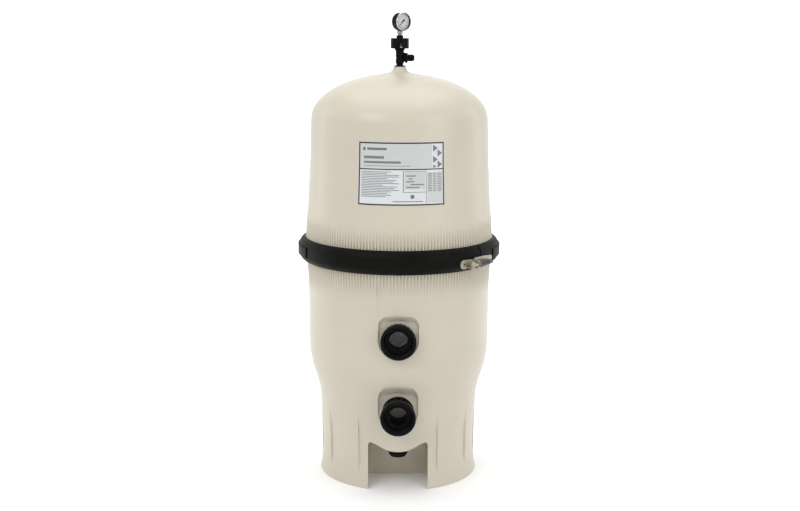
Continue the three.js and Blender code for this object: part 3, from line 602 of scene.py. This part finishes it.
def label_pieces():
    sheet = label_patch(0, 1, 0, 1, lift=0.4, corner=4)
    build("label_sheet", [sheet], "label", replaced=["tank_label"])
    edge = 0.016
    rim = 0.018
    frame_bars = [
        label_patch(0.006, 0.994, 0.005, 0.005 + rim * 1.25, 0.5),
        label_patch(0.006, 0.994, 0.995 - rim * 1.25, 0.995, 0.5),
        label_patch(0.005, 0.005 + edge, 0.015, 0.985, 0.5),
        label_patch(0.995 - edge, 0.995, 0.015, 0.985, 0.5),
        label_patch(0.01, 0.99, 0.418, 0.436, 0.5),
    ]
    build("label_frame", frame_bars, "ink_black")
    pale = [label_patch(0.022, 0.85, 0.03, 0.412, 0.5), label_patch(0.53, 0.765, 0.47, 0.74, 0.5),
            label_patch(0.79, 0.975, 0.47, 0.955, 0.5)]
    build("label_panels", pale, "ink_pale")
    dark = [label_patch(0.055, 0.085, 0.085, 0.135, 0.6), label_patch(0.105, 0.33, 0.09, 0.128, 0.6)]
    cell = 0.175
    strip = (0.862, 0.915, 0.972)
    for i in range(2):
        top = 0.045 + i * cell
        dark.append(label_triangle(strip[0], strip[1], top, top + 0.11, True))
        dark.append(label_triangle(strip[1], strip[2], top + 0.075, top + 0.19, True))
    dark.append(label_triangle(strip[0], strip[1], 0.36, 0.408, True))
    build("label_blocks", dark, "ink_grey")
    light = []
    for i in range(2):
        top = 0.045 + i * cell
        light.append(label_triangle(strip[0], strip[1], top + 0.075, top + 0.185, False))
        light.append(label_triangle(strip[1], strip[2], top, top + 0.09, False))
    build("label_pale_blocks", light, "ink_violet")
    grey = [
        label_patch(0.065, 0.30, 0.22, 0.262, 0.6),
        label_patch(0.065, 0.49, 0.30, 0.335, 0.6),
        label_patch(0.065, 0.60, 0.37, 0.378, 0.6),
        label_patch(0.515, 0.523, 0.455, 0.785, 0.6),
        label_patch(0.515, 0.775, 0.78, 0.788, 0.6),
        label_patch(0.515, 0.775, 0.455, 0.463, 0.6),
        label_patch(0.775, 0.781, 0.455, 0.96, 0.6),
        label_patch(0.40, 0.74, 0.925, 0.937, 0.75),
    ]
    build("label_headings", grey, "ink_text")
    text = []
    widths = (0.34, 0.30, 0.43, 0.43, 0.30, 0.40, 0.37, 0.43,
              0.25, 0.41, 0.38, 0.43, 0.34, 0.30, 0.34, 0.28)
    for i, width in enumerate(widths):
        y = 0.462 + i * 0.026
        text.append(label_patch(0.04, 0.04 + width, y, y + 0.009, 0.75))
    for i in range(11):
        y = 0.49 + i * 0.027
        text.append(label_patch(0.80, 0.845, y, y + 0.011, 0.75))
        text.append(label_patch(0.858, 0.895, y, y + 0.011, 0.75))
        text.append(label_patch(0.91, 0.962, y, y + 0.011, 0.75))
    for i, (x0, x1) in enumerate(((0.55, 0.66), (0.58, 0.62), (0.55, 0.64), (0.6, 0.75), (0.55, 0.7))):
        y = 0.52 + i * 0.045
        text.append(label_patch(x0, x1, y, y + 0.016, 0.75))
    build("label_lines", text, "ink_text")
    centre = (0.62, 0.855)
    build("label_mark", [label_disc(*centre, 5.2)], "ink_grey")


# ------------------------------------------------------------------ clamp band
BAND_SECTION = [
    (254.6, 657.6), (257.5, 658), (262.5, 655.2), (268, 650), (271.6, 642), (272.7, 634),
    (272.7, 617), (271.6, 609.5), (267.6, 602), (261.5, 596.4), (256, 594.2), (252.2, 594),
    (252.2, 596.6), (262.6, 599.6), (262.6, 652.4), (254.6, 654.4),
]
SEAM = 52
HINGE = SEAM - 180


def band_half(name, start, end, straps, hinge_side, node):
    gap = 0.42
    section = rounded(BAND_SECTION, 2.4, 3)
    shells = [revolve(section, 180, start + gap, end - start - 2 * gap)]
    strap = rounded([(272.2, 612.4), (275.4, 612.4), (275.4, 639.6), (272.2, 639.6)], 0.9)
    for first, last in straps:
        shells.append(revolve(strap, max(12, round(abs(last - first))), first, last - first))
    heights = ((606, 617.7), (634.3, 646)) if hinge_side > 0 else ((618, 634),)
    for low, high in heights:
        eye = rounded([(3.2, low), (7, low), (7, high), (3.2, high)], 0.6)
        side = (4, 24) if hinge_side > 0 else (-24, -4)
        leaf = block(side, (-278.6, -271.5), (low + 0.3, high - 0.3), 1.2)
        shells.append(moved(revolve(eye, 40), turn("Z", HINGE) @ shift(0, -283, 0)))
        shells.append(moved(leaf, turn("Z", HINGE)))
    build(name, shells, "band", replaced=[node])


def clamp_pieces():
    band_half("clamp_front_band", HINGE, SEAM, [(-119, -64)], 1, "clamp_front")
    band_half("clamp_rear_band", SEAM, HINGE + 360, [(66, 222)], -1, "clamp_rear")
    pin = rounded([(0, 603), (2.9, 603), (2.9, 646.3), (5, 646.3), (5, 650), (0, 650)], 0.5)
    build("clamp_hinge_rod", [moved(revolve(pin, 32), turn("Z", HINGE) @ shift(0, -283, 0))], "stainless",
          replaced=["clamp_hinge_pin"])


LATCH = 52
BOLT_LINE = 285.5
BOLT_Z = 614
PIVOT_X = -55
BOLT_END = 33
SPRING_X = (-25.9, 18)
PIVOT_DISTANCE = math.hypot(BOLT_LINE, PIVOT_X)
PIVOT_AZIMUTH = LATCH + math.degrees(math.atan(PIVOT_X / BOLT_LINE))


def bent_plate(name, outline, azimuth, inner, outer, holes, node, extra=()):
    """A plate bent round the band between two radii, from an outline of (sideways, z) at an azimuth."""
    ring = [(inner, 592), (outer, 592), (outer, 648), (inner, 648)]
    plate = build(name, [revolve(ring, 360)], None, body=None)
    shape = moved(prism(outline, 240, 320), turn("Z", azimuth) @ FRONTWARDS)
    combine(plate, build("tool", [shape], None, body=None), "INTERSECT")
    for shell in extra:
        combine(plate, build("tool", [shell], None, body=None), "UNION")
    for shell in holes:
        combine(plate, build("tool", [shell], None, body=None), "DIFFERENCE")
    finished(plate, "stainless", "tank", [node])


def latch_pieces():
    end = arc(16, 90, 270, round_point(-19.5, 615.8, 12.3))
    outline = end + rounded([(30, 604.8, 3), (44, 614.5, 2), (44, 630, 1.5)], 1.5)
    hole = revolve([(0, 240), (2.6, 240), (2.6, 320), (0, 320)], 32)
    hole = moved(hole, turn("Z", 42) @ shift(-18.7, 0, 616) @ FRONTWARDS)
    around = turn("Z", PIVOT_AZIMUTH)
    ears = []
    for low, high in ((605.4, 609.3), (618.7, 622.6)):
        ears.append(moved(block((-5.5, 5.5), (-PIVOT_DISTANCE, -274.5), (low, high), 0), around))
        barrel = rounded([(0, low), (7, low), (7, high), (0, high)], 0.6)
        ears.append(moved(revolve(barrel, 40), around @ shift(0, -PIVOT_DISTANCE, 0)))
    eye = revolve([(0, 590), (4.9, 590), (4.9, 640), (0, 640)], 32)
    eye = moved(eye, around @ shift(0, -PIVOT_DISTANCE, 0))
    bent_plate("latch_plate", outline, 42, 273.3, 275.6, [hole, eye], "latch_bracket", ears)
    tail = arc(14, -90, 90, round_point(44, 620.5, 6.5))
    outline = rounded([(-33.5, 630.5, 1.5), (-33.5, 615.2, 1.5)], 1.5) + tail + [(6, 631)]
    fork = moved(block((-33.5, -27.7), (-288.5, -275.3), (604.5, 623.5), 0), turn("Z", LATCH))
    slot = moved(block((-34.5, -26.7), (-290, -280.9), (609.5, 618.5), 0), turn("Z", LATCH))
    bent_plate("saddle_plate", outline, LATCH, 275.9, 278.1, [slot], "saddle_bracket", [fork])


def bolt_place():
    return turn("Z", LATCH) @ shift(0, -BOLT_LINE, BOLT_Z) @ turn("Y", 90)


def threaded(radius, low, high, pitch=1.25, depth=0.45):
    """A rod with a thread form, as fine rings."""
    outline = [(0, low)]
    turns = int((high - low) / pitch)
    for i in range(turns):
        z = low + i * pitch
        outline += [(radius - depth, z), (radius, z + pitch * 0.35), (radius, z + pitch * 0.65)]
    outline += [(radius - depth, high), (0, high)]
    return revolve(outline, 32)


def bolt_pieces():
    place = bolt_place()
    shank = moved(revolve(rounded([(0, PIVOT_X), (3.8, PIVOT_X), (3.8, -12), (0, -12)], 0), 32), place)
    thread = moved(threaded(4, -12, BOLT_END), place)
    head = rounded([(0, 603), (4.5, 603), (4.5, 625), (0, 625)], 0.8)
    cross = moved(revolve(head, 32), turn("Z", LATCH) @ shift(PIVOT_X, -BOLT_LINE, 0))
    build("latch_bolt", [shank, thread, cross], "stainless", "clamp_bolt_set", ["clamp_bolt"])
    wire, turns, coil = 1.3, 11, 5.7
    first, last = SPRING_X[0] + wire, SPRING_X[1] - wire
    points, faces = [], []
    per_turn, round_steps = 36, 12
    rings = per_turn * turns
    for i in range(rings + 1):
        angle = math.radians(360 / per_turn * i)
        height = first + (last - first) * i / rings
        for k in range(round_steps):
            around = math.radians(360 / round_steps * k)
            radius = coil + wire * math.cos(around)
            rise = height + wire * math.sin(around)
            points.append((radius * math.cos(angle), radius * math.sin(angle), rise))
    for i in range(rings):
        for k in range(round_steps):
            a, b = i * round_steps, (i + 1) * round_steps
            n = (k + 1) % round_steps
            faces.append((a + k, a + n, b + n, b + k))
    faces.append(tuple(range(round_steps)))
    faces.append(tuple(rings * round_steps + k for k in reversed(range(round_steps))))
    build("latch_spring", [moved((points, faces), place)], "spring", "clamp_bolt_set", ["clamp_spring"])
    washers = (("spring_end_washer", -27.4, "spring_washer"), ("nut_end_washer", 18, "nut_washer"))
    for name, low, node in washers:
        ring = rounded([(4.3, low), (7, low), (7, low + 1.5), (4.3, low + 1.5)], 0.4)
        build(name, [moved(revolve(ring, 40), place)], "stainless", "clamp_bolt_set", [node])
    hexagon = [round_point(0, 0, 7)(60 * i) for i in range(6)]
    nut = build("latch_nut", [moved(prism(hexagon, 19.8, 29.3), place)], None, body=None)
    dome = revolve([(0, 19.6), (6.5, 19.6), (7.05, 20.3), (7.05, 28.8), (6.5, 29.5), (0, 29.5)], 40)
    combine(nut, build("tool", [moved(dome, place)], None, body=None), "INTERSECT")
    bore = moved(revolve([(0, 18), (4.1, 18), (4.1, 32), (0, 32)], 32), place)
    combine(nut, build("tool", [bore], None, body=None), "DIFFERENCE")
    finished(nut, "spring", "clamp_nut", ["clamp_nut"])


# ------------------------------------------------------------------ ports
def port_pieces(name, z, pad):
    place = shift(0, 0, z) @ FRONTWARDS
    inner = pad - 24
    body = rounded([
        (24.25, inner, 0.6), (30, inner), (30, pad + 3.3), (42, pad + 3.3, 1), (42, pad + 8, 1.5),
        (38.4, pad + 8, 1), (37, pad + 9.5, 1), (37, 247), (24.25, 247),
    ], 0.5)
    shells = [moved(revolve(body, 96), place)]
    if pad < DEEP_PAD:
        rib = block((35.5, 40.6), (-1.3, 1.3), (pad + 7, 245), 0.8)
        shells += [moved(rib, place @ turn("Z", 20 * i)) for i in range(18)]
    build(f"{name}_bulkhead_body", shells, "black", replaced=[f"{name}_bulkhead"])
    nut = [(37.4, 246)] + rounded([
        (43.8, 246, 1), (45.2, 247.2, 1), (45.2, 260, 1), (46.5, 261.5, 1), (46.5, 273.6, 1.8),
        (44.6, 275.5, 1.2), (39.4, 275.5, 1), (38.2, 273.8, 0.6),
    ], 0.6)
    for i in range(11):
        turn_z = 273 - 1.8 * i
        nut += [(37.9, turn_z), (37.9, turn_z - 0.5), (38.8, turn_z - 0.9), (38.8, turn_z - 1.3)]
    nut += [(37.9, 252.6), (37.4, 252.4)]
    ring = build(f"{name}_union_ring", [moved(revolve(nut, 144), place)], None, body=None)
    for i in range(24):
        notch = moved(block((43.6, 50), (-1.9, 1.9), (244, 260), 0.9), place @ turn("Z", 15 * i))
        combine(ring, build("tool", [notch], None, body=None), "DIFFERENCE")
    finished(ring, "black", "tank", [f"{name}_union_nut"])
    seat = rounded([
        (24.25, 247.3), (37, 247.3), (37, 251.6, 0.6), (34.6, 252.5, 0.6), (31.6, 252.5, 0.6),
        (30.8, 251.4, 0.5), (28, 251.4, 0.5), (26.6, 252.5, 0.6), (24.25, 251.4, 0.6),
    ], 0.5)
    collar = build(f"{name}_union_seat", [moved(revolve(seat, 96), place)], None, body=None)
    for angle in (14, 194):
        key = moved(block((23, 38), (-2.2, 2.2), (250, 254), 0.4), place @ turn("Z", angle))
        combine(collar, build("tool", [key], None, body=None), "DIFFERENCE")
    finished(collar, "black", "tank", [f"{name}_seat_ring"])
    washer = rounded([(30.3, pad + 0.3), (41, pad + 0.3), (41, pad + 3), (30.3, pad + 3)], 0.8)
    build(f"{name}_face_gasket", [moved(revolve(washer, 96), place)], "rubber", replaced=[f"{name}_gasket"])


# ------------------------------------------------------------------ drain
def drain_pieces():
    place = shift(0, DRAIN_Y, 0)
    plug = rounded([
        (0, 82.2), (9, 82.2), (12, 83.4, 1), (19.6, 82.2, 1.5), (22.2, 84.8, 2), (27.4, 95, 2),
        (27.9, 97.2), (14.6, 97.2), (14.6, 112), (0, 112),
    ], 0.8)
    head = build("drain_plug_head", [moved(revolve(plug, 72), place)], None, body=None)
    for i in range(20):
        flute = moved(block((24.4, 31), (-1.3, 1.3), (80, 98), 0.5), place @ turn("Z", 18 * i))
        combine(head, build("tool", [flute], None, body=None), "DIFFERENCE")
    finished(head, "black", "drain_plug", ["drain_plug"])
    ring = rounded([(15.3, 97.5), (24, 97.5), (24, 100.2), (15.3, 100.2)], 1.2)
    build("drain_face_seal", [moved(revolve(ring, 64), place)], "rubber", replaced=["drain_seal"])


# ------------------------------------------------------------------ air relief valve
def valve_pieces():
    outline = rounded([
        (5, 1092), (12, 1092), (12, 1113.6), (12.6, 1114), (12.6, 1116.4, 1), (9, 1118.5, 2),
        (8.6, 1120.6, 2), (11, 1123, 1), (11, 1127), (10.6, 1127.4), (10.6, 1128.6), (11, 1129),
        (11, 1134.5, 0.5), (10.1, 1135.6, 0.5), (10.1, 1139.2, 0.5), (11, 1140.4, 0.5), (11, 1146),
        (10.6, 1146.4), (10.6, 1147.6), (11, 1148), (11, 1155.5, 3), (13.8, 1159, 1), (13.8, 1161.4),
        (8.6, 1161.4), (8.6, 1121), (5, 1121),
    ], 0.4)
    valve = build("valve_housing", [revolve(outline, 96)], None, body=None)
    sideways = shift(0, 0, 1137) @ turn("Y", 90)
    branch = rounded([
        (0, 9.2), (7.2, 9.2), (7.2, 12.4, 1), (12, 13.6, 1.5), (13.2, 15.4, 1), (13.2, 20.4, 1),
        (12, 21.5, 0.8), (7, 21.5), (6, 22), (6, 33), (3.5, 33), (3.5, 30), (0, 30),
    ], 0.5)
    combine(valve, build("tool", [moved(revolve(branch, 64), sideways)], None, body=None), "UNION")
    web = prism([(8.8, 1152), (13, 1151), (20.6, 1147), (14, 1128), (8.8, 1124.5)], -2, 2)
    combine(valve, build("tool", [moved(web, turn("X", 90))], None, body=None), "UNION")
    finished(valve, "black", "tank", ["valve_body"])
    cap = rounded([
        (0, 35), (6.4, 35), (6.4, 22), (9.2, 22), (9.2, 33, 2), (8, 37, 2), (5, 39.4, 2), (0, 39.4),
    ], 0.4)
    lid = build("outlet_dust_cap", [moved(revolve(cap, 64), sideways)], None, body=None)
    for i in range(14):
        groove = moved(revolve([(0, 23.5), (0.55, 23.5), (0.55, 34), (0, 34)], 12),
                       sideways @ turn("Z", 360 / 14 * i) @ shift(9.35, 0, 0))
        combine(lid, build("tool", [groove], None, body=None), "DIFFERENCE")
    finished(lid, "black", "outlet_cap", ["outlet_cap"])
    knob = rounded([
        (6.7, 1161.7), (24.3, 1161.7, 1), (24.3, 1188.9, 1),
        (21.6, 1188.9, 0.6), (20.8, 1188.2, 0.6), (10.8, 1188.2, 0.8), (10.8, 1184.5),
        (4.7, 1184.5), (4.7, 1172.3), (6.7, 1172.3),
    ], 0.5)
    grip = build("relief_knob_grip", [revolve(knob, 120)], None, body=None)
    for i in range(12):
        flute = revolve([(0, 1160), (1.5, 1160), (1.5, 1184.4), (0, 1186)], 16)
        flute = moved(flute, turn("Z", 30 * i + 15) @ shift(0, -25.1, 0))
        combine(grip, build("tool", [flute], None, body=None), "DIFFERENCE")
    finished(grip, "black", "relief_knob", ["relief_knob"])
    marks = [moved(block((0.4, 6.6), (-24.42, -24.0), (1164.9, 1166.6), 0.1), Matrix.Identity(4)),
             moved(block((1.9, 3.4), (-24.42, -24.0), (1171.8, 1173.0), 0.1), Matrix.Identity(4))]
    build("knob_index_mark", marks, "ink_violet", "relief_knob")
    seal = rounded([(12.3, 1113.8), (16, 1113.8), (16, 1115.9), (12.3, 1115.9)], 0.7)
    build("neck_gasket", [revolve(seal, 64)], "rubber", replaced=["neck_seal"])


# ------------------------------------------------------------------ pressure gauge
GAUGE_Z = 1232.1
GAUGE_PLACE = shift(0, 0, GAUGE_Z) @ turn("Z", 39)
NEEDLE_REST = 45


def dial_line(angle, inner, outer, width, lift=11.42, thick=0.06):
    """A thin printed bar pointing out from the dial's middle, at an angle clockwise from straight down."""
    bar = block((-width / 2, width / 2), (inner, outer), (lift, lift + thick), 0)
    return moved(bar, GAUGE_PLACE @ FRONTWARDS @ turn("Z", -angle) @ turn("Z", 180))


def dial_numbers():
    for i in range(7):
        value = str(i * 10)
        angle = math.radians(NEEDLE_REST + 45 * i)
        curve = bpy.data.curves.new(f"dial_number_{value}", "FONT")
        curve.body = value
        curve.size = 3.4 * MM
        curve.extrude = 0.04 * MM
        curve.align_x = "CENTER"
        curve.align_y = "CENTER"
        text = bpy.data.objects.new(f"dial_number_{value}", curve)
        bpy.context.scene.collection.objects.link(text)
        graph = bpy.context.evaluated_depsgraph_get()
        mesh = bpy.data.meshes.new_from_object(text.evaluated_get(graph))
        bpy.data.objects.remove(text)
        spot = Vector((-14.2 * math.sin(angle), 14.2 * math.cos(angle) * -1, 11.47))
        mesh.transform(in_metres(GAUGE_PLACE @ FRONTWARDS @ Matrix.Translation(spot)))
        piece = bpy.data.objects.new(f"dial_number_{value}", mesh)
        bpy.context.scene.collection.objects.link(piece)
        finished(piece, "ink_black", "tank", smooth=False)


def gauge_pieces():
    place = GAUGE_PLACE @ FRONTWARDS
    cup = rounded([
        (0, -7.5), (20.6, -7.5, 1.5), (23.4, -5.7, 1.8), (23.6, 9.6, 0.4), (23.6, 16), (22, 16),
        (22, -5.9), (0, -5.9),
    ], 0.4)
    case = build("gauge_housing", [moved(revolve(cup, 96), place)], None, body=None)
    for i in range(48):
        groove = moved(block((23.25, 25), (-0.5, 0.5), (-5, 9.6), 0), place @ turn("Z", 7.5 * i))
        combine(case, build("tool", [groove], None, body=None), "DIFFERENCE")
    finished(case, "black", "tank", ["gauge_case"])
    rim = rounded([
        (23.9, 16.1), (25, 16.1), (25, 17.2, 0.8), (24, 18.2, 0.8), (22.6, 18.2, 0.5),
        (21.8, 17.6), (23.9, 17.5),
    ], 0.3)
    skirt = rounded([(23.9, 11), (24.6, 11), (25, 11.5, 0.4), (25, 16), (23.9, 16)], 0.3)
    build("gauge_rim_skirt", [moved(revolve(skirt, 120), place)], "black")
    build("gauge_rim", [moved(revolve(rim, 120), place)], "chrome", replaced=["gauge_bezel"])
    window = rounded([(0, 16.3), (23.5, 16.3), (23.5, 17.3), (0, 17.3)], 0.2)
    build("gauge_window_disc", [moved(revolve(window, 96), place)], "glass", replaced=["gauge_lens"])
    face = rounded([(1.1, 10.6), (21.6, 10.6), (21.6, 11.4), (1.1, 11.4)], 0.1)
    build("gauge_dial_face", [moved(revolve(face, 96), place)], "dial", replaced=["gauge_dial"])
    ticks = []
    for i in range(61):
        long = i % 10 == 0
        middle = i % 5 == 0
        inner = 17.2 if long else (18.1 if middle else 18.8)
        ticks.append(dial_line(NEEDLE_REST + 4.5 * i, inner, 20.2, 0.5 if long else 0.25))
    build("dial_ticks", ticks, "ink_black")
    dial_numbers()
    band = [moved(revolve([(15.6, 11.42), (16.2, 11.42), (16.2, 11.47), (15.6, 11.47)], 90, -90, 180),
                  place)]
    build("dial_scale_arc", band, "ink_grey")
    outline = [(-0.8, 0), (-0.6, -16.6), (0, -18.6), (0.6, -16.6), (0.8, 0)]
    tail = [(1.4, 1.6), (1.8, 3.4), (2.4, 4.2), (2.6, 6), (1.7, 7.6)]
    outline += tail + [(-x, y) for x, y in reversed(tail)]
    hand = moved(prism(outline, 12.35, 12.85), place @ turn("Z", -NEEDLE_REST))
    hub = revolve(rounded([(0, 12.2), (1.9, 12.2), (1.9, 13), (1.2, 13.4), (0, 13.4)], 0.2), 32)
    build("gauge_hand", [hand, moved(hub, place)], "black", "gauge_needle", ["gauge_needle"])
    bottom = 1190.8 - GAUGE_Z
    low = 1186.4 - GAUGE_Z  # the hex runs down into the knob's recess
    hexagon = [round_point(0, 0, 9.8)(60 * i) for i in range(6)]
    collar = build("gauge_stem_hex", [prism(hexagon, low, bottom + 5.8)], None, body=None)
    crown = revolve([(0, low - 0.1), (9, low - 0.1), (9.8, low + 0.8), (9.8, bottom + 4.4),
                     (8.4, bottom + 5.9), (0, bottom + 5.9)], 48)
    combine(collar, build("tool", [crown], None, body=None), "INTERSECT")
    collar.data.transform(in_metres(GAUGE_PLACE))
    finished(collar, "black", "tank", ["gauge_socket"])
    stem = rounded([
        (0, bottom + 5.7), (5, bottom + 5.7), (5, -32.2, 1), (7.4, -31.6, 1), (7.9, -30, 1),
        (7.9, -25, 1.5), (6.4, -23.2, 1),
        (5.2, -22), (5.2, -17.5), (0, -17.5),
    ], 0.4)
    build("gauge_stem", [moved(revolve(stem, 48), GAUGE_PLACE)], "stainless")


# ------------------------------------------------------------------ the CAD nodes that stay
KEPT = {
    "white": ["inlet_diffuser", "outlet_elbow", "outlet_pipe", "grid_manifold", "grid_spacer",
              "air_bleed_screen", "relief_poppet"],
    "fabric": [f"grid_{i}" for i in range(1, 8)] + ["grid_partial"],
    "stainless": ["tie_rod", "tie_rod_nut"],
    "brass": ["gauge_post", "bourdon_tube", "needle_pinion", "sector_gear"],
    "black": ["lower_bulkhead_nut", "upper_bulkhead_nut"],
}


def finish_kept_nodes():
    for finish, names in KEPT.items():
        for name in names:
            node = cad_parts[name]
            if not node.material_slots:
                node.data.materials.append(FINISH[finish])
            for material_slot in node.material_slots:
                material_slot.material = FINISH[finish]


# ------------------------------------------------------------------ floor, light and camera
def floor_and_backdrop():
    """A pale sweep: flat floor that curves up behind the object."""
    half, near, far, bend = 9.0, -6.0, 5.0, 2.5
    profile = [(near, 0.0)] + arc(24, -90, 0, round_point(far, bend, bend)) + [(far + bend, 9.0)]
    points = [(side * half, y, z) for side in (-1, 1) for y, z in profile]
    count = len(profile)
    faces = [(i, i + 1, count + i + 1, count + i) for i in range(count - 1)]
    mesh = bpy.data.meshes.new("studio_sweep")
    mesh.from_pydata(points, [], faces)
    mesh.shade_smooth()
    sweep = bpy.data.objects.new("studio_sweep", mesh)
    bpy.context.scene.collection.objects.link(sweep)
    pale = surface("studio_paper", (0.93, 0.93, 0.93, 1), 0.9, mottle=0.002, grain=0.0)
    sweep.data.materials.append(pale)


def area_light(name, place, target, size, watts):
    data = bpy.data.lights.new(name, "AREA")
    data.shape = "RECTANGLE"
    data.size, data.size_y = size
    data.energy = watts
    light = bpy.data.objects.new(name, data)
    light.location = place
    light.rotation_euler = (Vector(target) - Vector(place)).to_track_quat("-Z", "Y").to_euler()
    bpy.context.scene.collection.objects.link(light)


def lights():
    world = bpy.data.worlds.new("studio")
    world.use_nodes = True
    world.node_tree.nodes["Background"].inputs["Color"].default_value = (1, 1, 1, 1)
    world.node_tree.nodes["Background"].inputs["Strength"].default_value = 0.62
    bpy.context.scene.world = world
    middle = (0, 0, 0.65)
    area_light("key", (-2.2, -3.0, 3.0), middle, (2.4, 2.4), 60)
    area_light("fill", (2.8, -2.6, 1.8), middle, (2.0, 2.6), 36)
    area_light("top", (0, 0.4, 4.2), middle, (4.0, 4.0), 80)
    area_light("left_edge", (-3.0, 1.3, 1.4), middle, (1.2, 2.6), 14)
    area_light("right_edge", (3.0, 1.3, 1.4), middle, (1.2, 2.6), 14)
    area_light("backdrop", (0, 2.0, 4.0), (0, 6.0, 1.5), (6.0, 3.0), 260)


def camera():
    """A long lens a little above the gauge's foot, pitched down, as a product photograph is taken."""
    data = bpy.data.cameras.new("camera")
    data.sensor_width = 36
    data.lens = 57.42
    place = bpy.data.objects.new("camera", data)
    pitch, roll = 10.4, 0.27
    stand = Matrix.Translation((0.0031, -3.452, 1.233))
    place.matrix_world = stand @ turn("X", 90 - pitch) @ turn("Z", roll)
    bpy.context.scene.collection.objects.link(place)
    bpy.context.scene.camera = place


camera()
tank_bottom()
tank_lid()
mould_line()
tank_seal_ring()
label_pieces()
clamp_pieces()
latch_pieces()
bolt_pieces()
for port, height, pad_face in zip(("lower", "upper"), PORT_Z, PORT_PAD):
    port_pieces(port, height, pad_face)
drain_pieces()
valve_pieces()
gauge_pieces()
finish_kept_nodes()
floor_and_backdrop()
lights()
bpy.context.scene.view_settings.view_transform = "Standard"
